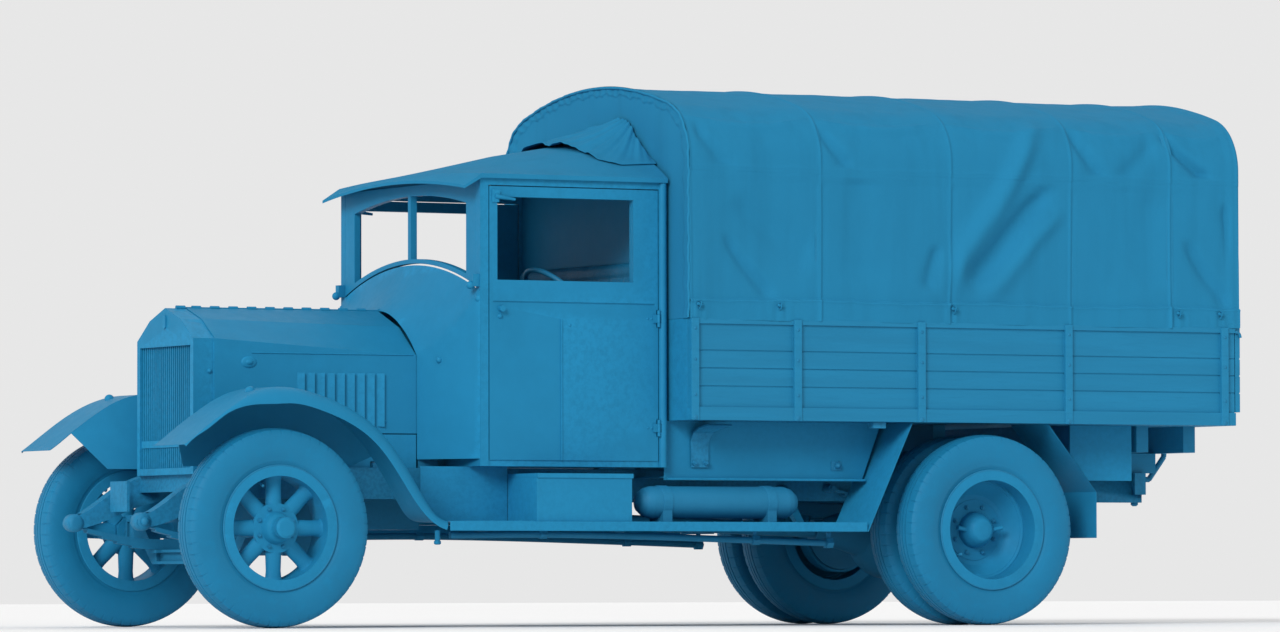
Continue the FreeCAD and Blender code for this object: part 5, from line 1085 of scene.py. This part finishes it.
def lock_ring(x, y, side):
    """The rim's spring ring: a round bead that lies in the corner between the tyre and the flange."""
    a, bead = circle(72), circle(10)[:, None]
    radius = 0.2935 + 0.0045 * np.sin(bead)
    py = y + side * (0.0795 + 0.0045 * np.cos(bead))
    points = stacked(x + radius * np.sin(a), py, WHEEL_Z + radius * np.cos(a))
    return points.reshape(-1, 3), grid_faces(len(bead), len(a), around=True, along=True)


def valve(x, y, side, turn, radius=0.236):
    """A valve stem with its cap, which leans out of the rim."""
    way = np.array((-0.5 * math.sin(turn), side * 0.85, -0.5 * math.cos(turn)))
    stem = [(0.0, 0.006), (0.030, 0.006), (0.031, 0.0075), (0.046, 0.0075), (0.050, 0.004)]
    return turned_solid(round_axle(x, y + side * 0.020, radius, turn), way, stem, 14)


def nut_circle(x, y, side, radius, first, size):
    """Eight hexagon nuts in a circle round the axle, of a size across and high, from one turn on."""
    parts = []
    for k in range(SPOKES):
        foot = round_axle(x, y, radius, first + 2.0 * math.pi * k / SPOKES)
        parts += hexagon_nut(foot, (0.0, side, 0.0), *size)
    return parts


class LORRY_OT_front_wheel_details(bpy.types.Operator):
    """The cast spokes of the front wheels, their hub nuts, spring rings and valves."""

    bl_idname = "lorry.front_wheel_details"
    bl_label = "Front wheel details"

    def execute(self, context):
        for name, side in SIDES:
            y = side * FRONT_Y
            parts = [spoke_casing(FRONT_X, y, 2.0 * math.pi * k / SPOKES) for k in range(SPOKES)]
            casting = merged("spokes_" + name, parts)
            finished(casting, "wheel_paint", "front_road_wheel_" + name, "wheel_paint")
            between = math.pi / SPOKES
            parts = [lock_ring(FRONT_X, y, side), valve(FRONT_X, y, side, between)]
            parts += nut_circle(FRONT_X, y + side * 0.0275, side, 0.094, between, (0.0105, 0.011))
            hub = [(0.0, 0.0525), (0.003, 0.0535), (0.006, 0.0525)]
            parts.append(turned_solid((FRONT_X, side * 0.9555, WHEEL_Z), (0, side, 0), hub, 40))
            nuts = merged("wheel_nuts_front_" + name, parts)
            finished(nuts, "iron", "front_road_wheel_" + name, "wheel_paint")
        return {"FINISHED"}


class LORRY_OT_rear_wheel_details(bpy.types.Operator):
    """The rear wheels' spring rings, valves and hub nuts."""

    bl_idname = "lorry.rear_wheel_details"
    bl_label = "Rear wheel details"

    def execute(self, context):
        for name, side in SIDES:
            y = side * REAR_Y[0]
            parts = [lock_ring(REAR_X, y, side), valve(REAR_X, y, side, 2.2, 0.228)]
            parts += nut_circle(REAR_X, side * 0.8115, side, 0.119, math.pi / SPOKES, (0.0115, 0.012))
            nuts = merged("wheel_nuts_rear_" + name, parts)
            finished(nuts, "iron", "rear_road_wheels_" + name, "wheel_paint")
        return {"FINISHED"}


# Small fittings

def on_solid(node, start, way):
    """Where a line from a start meets one of the solids, and the solid's outward direction there."""
    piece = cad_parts[node]
    back = piece.matrix_world.inverted()
    hit, place, out, _ = piece.ray_cast(back @ Vector(start), (back.to_3x3() @ Vector(way)).normalized())
    if not hit:
        raise RuntimeError("no place for a fitting on " + node)
    return np.array(piece.matrix_world @ place), np.array(piece.matrix_world.to_3x3() @ out)


def button(node, start, way, radius, height):
    """A round head that sits on a solid, square to its face."""
    place, out = on_solid(node, start, way)
    return dome(place - out * 0.001, out, radius, height)


def upright_rectangle(x, y, z):
    """The corners of an upright rectangle; z is a pair of heights, and x or y is a pair too."""
    (x0, x1), (y0, y1) = np.broadcast_to(x, 2), np.broadcast_to(y, 2)
    return [(x0, y0, z[0]), (x1, y1, z[0]), (x1, y1, z[1]), (x0, y0, z[1])]


class LORRY_OT_bonnet_fittings(bpy.types.Operator):
    """The long bead, the catch and the handle of each bonnet half."""

    bl_idname = "lorry.bonnet_fittings"
    bl_label = "Bonnet fittings"

    def execute(self, context):
        catch_x = 2.312
        for name, side in SIDES:
            node = "bonnet_" + name
            line = []
            for x in np.linspace(2.30, 1.475, 42):
                place, out = on_solid(node, (x, side * 0.6, 1.311 - 0.003 * (2.30 - x)), (0.0, -side, 0.0))
                line.append(place + out * 0.0005)
            parts = [tube(line, 0.0042, 10)]
            for radius, height in ((0.029, 0.011), (0.017, 0.017)):
                points, faces = button(node, (catch_x, side * 0.6, 1.265), (0, -side, 0), radius, height)
                points[:, 0] = catch_x + 1.42 * (points[:, 0] - catch_x)
                parts.append((points, faces))
            for x in (2.20, 1.62):
                parts.append(button(node, (x, side * 0.6, 0.985), (0, -side, 0), 0.009, 0.006))
            finished(merged("bonnet_fittings_" + name, parts), "paint", "bonnet_half_" + name, "paint")
        return {"FINISHED"}


class LORRY_OT_door_fittings(bpy.types.Operator):
    """Each door's keyhole plate, the round screws of its hinges, and the arm at its window's corner."""

    bl_idname = "lorry.door_fittings"
    bl_label = "Door fittings"

    def execute(self, context):
        for name, side in SIDES:
            node = "door_" + name
            way = (0.0, -side, 0.0)
            parts = [button(node, (0.799, side, 1.452), way, 0.008, 0.005)]
            parts.append(button(node, (1.178, side, 1.49), way, 0.013, 0.012))
            for z in (0.96, 1.49):
                for x in (0.350, 0.372):
                    parts.append(button(node, (x, side, z), way, 0.0065, 0.004))
            y = side * 0.7555
            corner = [(1.222, y, 2.036), (1.186, y, 2.036), (1.178, y, 2.092), (1.222, y, 2.098)]
            parts.append(plate(corner, (0, side * 0.006, 0)))
            arm = [(1.204, 0.004, 2.066), (1.170, 0.016, 2.058), (1.104, 0.014, 2.050)]
            arm = curve_through([(x, y + side * out, z) for x, out, z in arm], 14)
            parts.append(tube(arm, np.linspace(0.0125, 0.0065, 14), 12))
            finished(merged("door_fittings_" + name, parts), "paint", "cab_door_" + name, "paint")
        return {"FINISHED"}


class LORRY_OT_cab_fittings(bpy.types.Operator):
    """Heads and knobs on the radiator, scuttle, wings and pillars, and the peg under each wing's foot."""

    bl_idname = "lorry.cab_fittings"
    bl_label = "Cab fittings"

    def execute(self, context):
        parts = []
        down = (0, 0, -1)
        peg = [(0.0, 0.013), (0.050, 0.013), (0.051, 0.017), (0.064, 0.017), (0.068, 0.010)]
        for name, side in SIDES:
            way = (0.0, -side, 0.0)
            parts.append(button("radiator", (2.510, side, 1.221), way, 0.012, 0.013))
            parts.append(button("scuttle", (1.396, side, 1.282), way, 0.016, 0.016))
            parts.append(button("front_wing_" + name, (2.525, side * 0.80, 1.4), down, 0.024, 0.022))
            parts.append(button("cab_body", (1.5, side * 0.735, 1.574), (-1, 0, 0), 0.020, 0.018))
            parts.append(turned_solid((1.505, side * 0.735, 0.462), down, peg, 18))
            for x in np.linspace(1.46, -0.66, 15):
                parts.append(button("running_board_" + name, (x, side * 0.925, 0.60), down, 0.0065, 0.003))
        return finished(merged("cab_fittings", parts), "paint", "chassis", "paint")


class LORRY_OT_bed_fittings(bpy.types.Operator):
    """Brackets, bolts and caps on and under the load bed."""

    bl_idname = "lorry.bed_fittings"
    bl_label = "Bed fittings"

    def execute(self, context):
        parts = []
        # The edges of the bracket's strap, from its foot up and round to its tip: front x, rear x, y, z
        strap = [(0.118, 0.024, 0.724, 0.772), (0.120, 0.022, 0.724, 0.905), (0.116, 0.006, 0.742, 0.945),
                 (0.104, -0.022, 0.778, 0.968), (0.084, -0.046, 0.840, 0.981)]
        for name, side in SIDES:
            node = "bed_side_" + name
            way = (0.0, -side, 0.0)
            for (x0, x1, y0, z0), (x3, x2, y2, z2) in zip(strap, strap[1:]):
                low = [(x0, side * y0, z0), (x1, side * y0, z0)]
                high = [(x2, side * y2, z2), (x3, side * y2, z2)]
                parts.append(plate(low + high, (0.0, side * 0.007, -0.007 * (y2 > y0))))
            for x in (0.038, 0.102):
                parts += hexagon_nut((x, side * 0.7305, 0.792), (0, side, 0), 0.014, 0.012)
            cap = [(-0.775, 0.902), (-0.865, 0.902), (-0.855, 0.942), (-0.785, 0.942)]
            parts.append(plate([(x, side * y, 0.966) for x, y in cap], (0.0, 0.0, 0.029)))
            for post in POSTS:
                for z, size in ((1.010, 0.013), (1.120, 0.0085), (1.290, 0.0085), (1.440, 0.0085)):
                    parts.append(button(node, (post, side * 1.2, z), way, size, 0.005))
            y = side * 0.719
            pad = upright_rectangle((-0.672, -0.728), y, (0.762, 0.806))
            parts.append(plate(pad, (0, side * 0.006, 0)))
            parts.append(dome((-0.704, y + side * 0.005, 0.786), (0, side, 0), 0.017, 0.026))
            corner = [(-2.884, 0.962, 1.470), (-2.905, 0.966, 1.462), (-2.912, 0.970, 1.440)]
            bent = curve_through([(x, side * out, z) for x, out, z in corner], 9)
            parts.append(tube(bent, 0.0075, 12))
        return finished(merged("bed_fittings", parts), "iron", "chassis", "chassis_iron")


class LORRY_OT_under_fittings(bpy.types.Operator):
    """The long pipe under each running board with its couplings and hangers, the blank front plate,
    the round bosses at the tips of the frame and the tail pins."""

    bl_idname = "lorry.under_fittings"
    bl_label = "Under fittings"

    def execute(self, context):
        pipe = [(1.40, 0.440), (0.90, 0.444), (0.365, 0.436), (-0.276, 0.418), (-0.71, 0.404)]
        couplings = [(-0.276, 0.418, 0.026), (-0.690, 0.405, 0.028), (0.90, 0.444, 0.023)]
        boss = [(0.0, 0.020), (0.004, 0.034), (0.016, 0.043), (0.074, 0.043), (0.086, 0.034), (0.090, 0.020)]
        pin = [(0.0, 0.006), (0.012, 0.006), (0.018, 0.011), (0.040, 0.018), (0.052, 0.019), (0.060, 0.010)]
        front_plate = upright_rectangle(2.722, (-0.320, -0.125), (0.556, 0.702))
        parts = [plate(front_plate, (0.014, 0, 0))]
        for name, side in SIDES:
            y = side * 0.66
            parts.append(tube(curve_through([(x, y, z) for x, z in pipe], 60), 0.0165, 16))
            for x, z, size in couplings:
                profile = [(0.0, 0.019), (0.004, size), (0.040, size), (0.044, 0.019)]
                parts.append(turned_solid((x + 0.022, y, z), (-1, 0, 0), profile, 6))
                hanger = upright_rectangle((x - 0.012, x + 0.012), y - 0.0025, (z, 0.4595))
                parts.append(plate(hanger, (0, 0.005, 0)))
            parts.append(turned_solid((2.897, side * 0.346, 0.503), (0, side, 0), boss, 28))
            parts.append(dome((2.897, side * 0.434, 0.503), (0, side, 0), 0.022, 0.020))
            parts.append(turned_solid((-2.648, side * 0.385, 0.657), (0, 0, -1), pin, 20))
        return finished(merged("under_fittings", parts), "iron", "chassis", "chassis_iron")


class LORRY_OT_tilt_fittings(bpy.types.Operator):
    """The tilt's toggles in their loops, and the rope sewn into the front edge."""

    bl_idname = "lorry.tilt_fittings"
    bl_label = "Tilt fittings"

    def execute(self, context):
        tilt = settings().tilt
        z = tilt.hem + 0.066
        peg = [(0.0, 0.004), (0.003, 0.0075), (0.016, 0.0085), (0.030, 0.0075), (0.033, 0.004)]
        loop = [(-0.003, -0.009, 0.013), (-0.002, 0.008, 0.010),
                (0.001, 0.009, -0.008), (0.002, -0.006, -0.022)]
        parts = []
        for name, side in SIDES:
            y = side * (tilt.half_width + 0.0165)
            for place in TOGGLES:
                parts.append(turned_solid((place + 0.0165, y, z + 0.004), (-1.0, 0.0, -0.25), peg, 14))
                bent = curve_through([(place + x, y + side * out, z + up) for x, out, up in loop], 16)
                parts.append(tube(bent, 0.0032, 8))
        foot = cloth_length(tilt.hem + 0.004)
        along = np.linspace(-foot, foot, 420)
        y, z, out_y, out_z = tilt_outline(along)
        sway = 0.0022 * np.sin(along * 40.0) + 0.0014 * np.sin(along * 97.0)
        rope = stacked(tilt.front + 0.0015 + sway, y - out_y * 0.004, z - out_z * 0.004)
        parts.append(tube(rope, 0.0075, 10))
        return finished(merged("tilt_fittings", parts), "canvas_cord", "chassis", "canvas")




# Finishes of the solids

def node_finishes():
    """Which finish each solid of the frame wears, by its name or else by a word in it."""
    groups = {
        "iron": ("frame_rails", "front_springs", "rear_springs", "front_axle_beam", "rear_axle",
                 "engine_block", "propeller_shaft", "track_rod", "tow_hooks", "side_tank",
                 "knuckle_left", "knuckle_right", "steering_column"),
        "wood": ("bed_floor", "bed_front", "tailgate", "bed_side_left", "bed_side_right", "seat_base"),
        "canvas": ("tilt_canvas", "roof_cloth", "rolled_curtain"),
        "leather": ("seat_cushion", "seat_back"),
        "ash_bows": ("tilt_hoops",),
        "hand_wheel": ("steering_wheel",),
        "roof_cover": ("cab_roof",),
    }
    named = {node: finish for finish, nodes in groups.items() for node in nodes}
    result = {}
    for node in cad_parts:
        by_word = "rubber" if "tyre" in node else "wheel_paint" if "wheel" in node else "paint"
        result[node] = named.get(node, by_word)
    return result


class LORRY_OT_finishes(bpy.types.Operator):
    """Makes the finishes and gives one to every solid, and softens the sharp edges of those in paint, iron
    and wood.
    """

    bl_idname = "lorry.finishes"
    bl_label = "Finishes"

    def execute(self, context):
        paint = settings().paint
        paint_finish("paint", paint.body, paint.roughness)
        paint_finish("wheel_paint", paint.body, paint.roughness + 0.04, beaten=0.0006)
        iron_finish("iron", paint.iron, paint.roughness + 0.12)
        wood_finish("wood", paint.wood, paint.roughness + 0.14)
        wood_finish("ash_bows", paint.wood, paint.roughness + 0.16, along=(1.0, 3.0, 3.0))
        wood_finish("hand_wheel", paint.iron, paint.roughness - 0.05, along=(4.0, 4.0, 4.0))
        cloth_finish("canvas", paint.canvas)
        cloth_finish("roof_cover", paint.canvas, place_from_uv=False)
        cloth_finish("canvas_cord", paint.canvas, place_from_uv=False, weave=2.0)
        leather_finish("leather", paint.leather, 0.5)
        rubber_finish("rubber", paint.rubber, 0.66)
        for name, finish in node_finishes().items():
            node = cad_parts[name]
            node.data.materials.clear()
            node.data.materials.append(bpy.data.materials["finish_" + finish])
            if finish in ("paint", "iron", "wood", "wheel_paint", "ash_bows"):
                soften(node, 0.0022 if finish == "paint" else 0.0016)
        return {"FINISHED"}


def soften(piece, width):
    """Joins a solid's loose triangles and rounds its sharp edges, without a change to the mesh below."""
    weld = piece.modifiers.new("joined", "WELD")
    weld.merge_threshold = 0.00002
    bevel = piece.modifiers.new("softened", "BEVEL")
    bevel.width = width
    bevel.segments = 2
    bevel.limit_method = "ANGLE"
    bevel.angle_limit = math.radians(38.0)
    bevel.use_clamp_overlap = True
    bevel.harden_normals = False
    normals = piece.modifiers.new("shading", "WEIGHTED_NORMAL")
    normals.keep_sharp = False
    piece.data.polygons.foreach_set("use_smooth", np.full(len(piece.data.polygons), True))


# Floor, light and camera

class LORRY_OT_stage(bpy.types.Operator):
    """A plain pale floor, soft studio lamps and the camera."""

    bl_idname = "lorry.stage"
    bl_label = "Stage"

    def execute(self, context):
        stage = settings().stage
        scene = context.scene
        reach = np.linspace(-45.0, 45.0, 9)
        floor = grid_piece("floor", stacked(reach[:, None], reach, 0.0))
        made = Finish("floor", [min(1.15 * k, 1.0) for k in stage.floor], 0.92)
        made.relief((made.noise(90.0, 2.0), 0.0004))
        made.shine(0.1)
        floor.data.materials.append(made.material)

        self.lamp("key_lamp", (0.72, 0.56, 0.44), 22.0, stage.key)
        self.lamp("back_lamp", (-0.60, -0.30, 0.55), 40.0, stage.key * 0.18)
        self.surround(scene, stage)

        lens = bpy.data.cameras.new("camera")
        lens.lens = stage.lens
        lens.sensor_width = 36.0
        camera = bpy.data.objects.new("camera", lens)
        scene.collection.objects.link(camera)
        right = Vector((-0.87853728, 0.47767084, -0.00167578))
        up = Vector((0.01657534, 0.03399128, 0.99928467))
        turn = Matrix((right, up, right.cross(up))).transposed()
        camera.matrix_world = Matrix.Translation(Vector(stage.camera)) @ turn.to_4x4()
        scene.camera = camera
        scene.view_settings.view_transform = "Standard"
        return {"FINISHED"}

    def lamp(self, name, way, spread, strength):
        """A wide far lamp that shines from one way; spread is the angle it fills, in degrees."""
        data = bpy.data.lights.new(name, "SUN")
        data.angle = math.radians(spread)
        data.energy = strength
        lamp = bpy.data.objects.new(name, data)
        bpy.context.scene.collection.objects.link(lamp)
        turn = Vector(way).to_track_quat("Z", "Y").to_matrix().to_4x4()
        lamp.matrix_world = Matrix.Translation(Vector(way) * 12.0) @ turn

    def surround(self, scene, stage):
        """White light from all round; the camera, mirrors and glass see the pale background instead."""
        world = bpy.data.worlds.new("surround")
        world.use_nodes = True
        nodes, links = world.node_tree.nodes, world.node_tree.links
        nodes.clear()
        rays = nodes.new("ShaderNodeLightPath")
        mix = nodes.new("ShaderNodeMixShader")
        for k, (tone, strength) in enumerate((((1.0, 1.0, 1.0), stage.surround), (tuple(stage.floor), 1.0))):
            light = nodes.new("ShaderNodeBackground")
            light.inputs["Color"].default_value = tone + (1.0,)
            light.inputs["Strength"].default_value = strength
            links.new(light.outputs[0], mix.inputs[k + 1])
        seen = rays.outputs["Is Camera Ray"]
        for ray in ("Is Glossy Ray", "Is Transmission Ray"):
            either = nodes.new("ShaderNodeMath")
            either.operation = "MAXIMUM"
            links.new(seen, either.inputs[0])
            links.new(rays.outputs[ray], either.inputs[1])
            seen = either.outputs[0]
        links.new(seen, mix.inputs["Fac"])
        out = nodes.new("ShaderNodeOutputWorld")
        links.new(mix.outputs[0], out.inputs["Surface"])
        scene.world = world


# The add-on

class LORRY_PG_all(bpy.types.PropertyGroup):
    """All of the lorry's settings."""

    paint: bpy.props.PointerProperty(name="Paint", description="Colours of the finish", type=LORRY_PG_paint)
    tilt: bpy.props.PointerProperty(name="Tilt", description="Sizes of the tilt", type=LORRY_PG_tilt)
    tyre: bpy.props.PointerProperty(name="Tyre", description="Sizes of the tread", type=LORRY_PG_tyre)
    stage: bpy.props.PointerProperty(name="Stage", description="Floor, lamps and camera", type=LORRY_PG_stage)


SETTINGS = (LORRY_PG_paint, LORRY_PG_tilt, LORRY_PG_tyre, LORRY_PG_stage, LORRY_PG_all)
OPERATORS = (
    LORRY_OT_stage,
    LORRY_OT_finishes,
    LORRY_OT_tilt_cover,
    LORRY_OT_tilt_front,
    LORRY_OT_front_tyres,
    LORRY_OT_rear_tyres,
    LORRY_OT_seat_cushion,
    LORRY_OT_seat_back,
    LORRY_OT_roof_cloth,
    LORRY_OT_rear_curtain,
    LORRY_OT_front_wheel_details,
    LORRY_OT_rear_wheel_details,
    LORRY_OT_bonnet_fittings,
    LORRY_OT_door_fittings,
    LORRY_OT_cab_fittings,
    LORRY_OT_bed_fittings,
    LORRY_OT_under_fittings,
    LORRY_OT_tilt_fittings,
)


class LORRY_PT_sidebar(bpy.types.Panel):
    """The lorry's settings and the buttons that make its pieces."""

    bl_idname = "LORRY_PT_sidebar"
    bl_label = "Covered Lorry"
    bl_space_type = "VIEW_3D"
    bl_region_type = "UI"
    bl_category = "Lorry"

    def draw(self, context):
        lorry = context.scene.lorry
        for group in (lorry.paint, lorry.tilt, lorry.tyre, lorry.stage):
            column = self.layout.column(align=True)
            for name in group.bl_rna.properties.keys():
                if name not in ("rna_type", "name"):
                    column.prop(group, name)
        for operator in OPERATORS:
            self.layout.operator(operator.bl_idname)


CLASSES = SETTINGS + OPERATORS + (LORRY_PT_sidebar,)


def register():
    """Registers the classes and gives every scene its settings."""
    for kind in CLASSES:
        bpy.utils.register_class(kind)
    bpy.types.Scene.lorry = bpy.props.PointerProperty(type=LORRY_PG_all)


def unregister():
    """Takes the settings and the classes away again."""
    del bpy.types.Scene.lorry
    for kind in reversed(CLASSES):
        bpy.utils.unregister_class(kind)


def main():
    """Makes the whole lorry."""
    register()
    for operator in OPERATORS:
        group, name = operator.bl_idname.split(".")
        getattr(getattr(bpy.ops, group), name)()


if __name__ == "__main__":
    main()
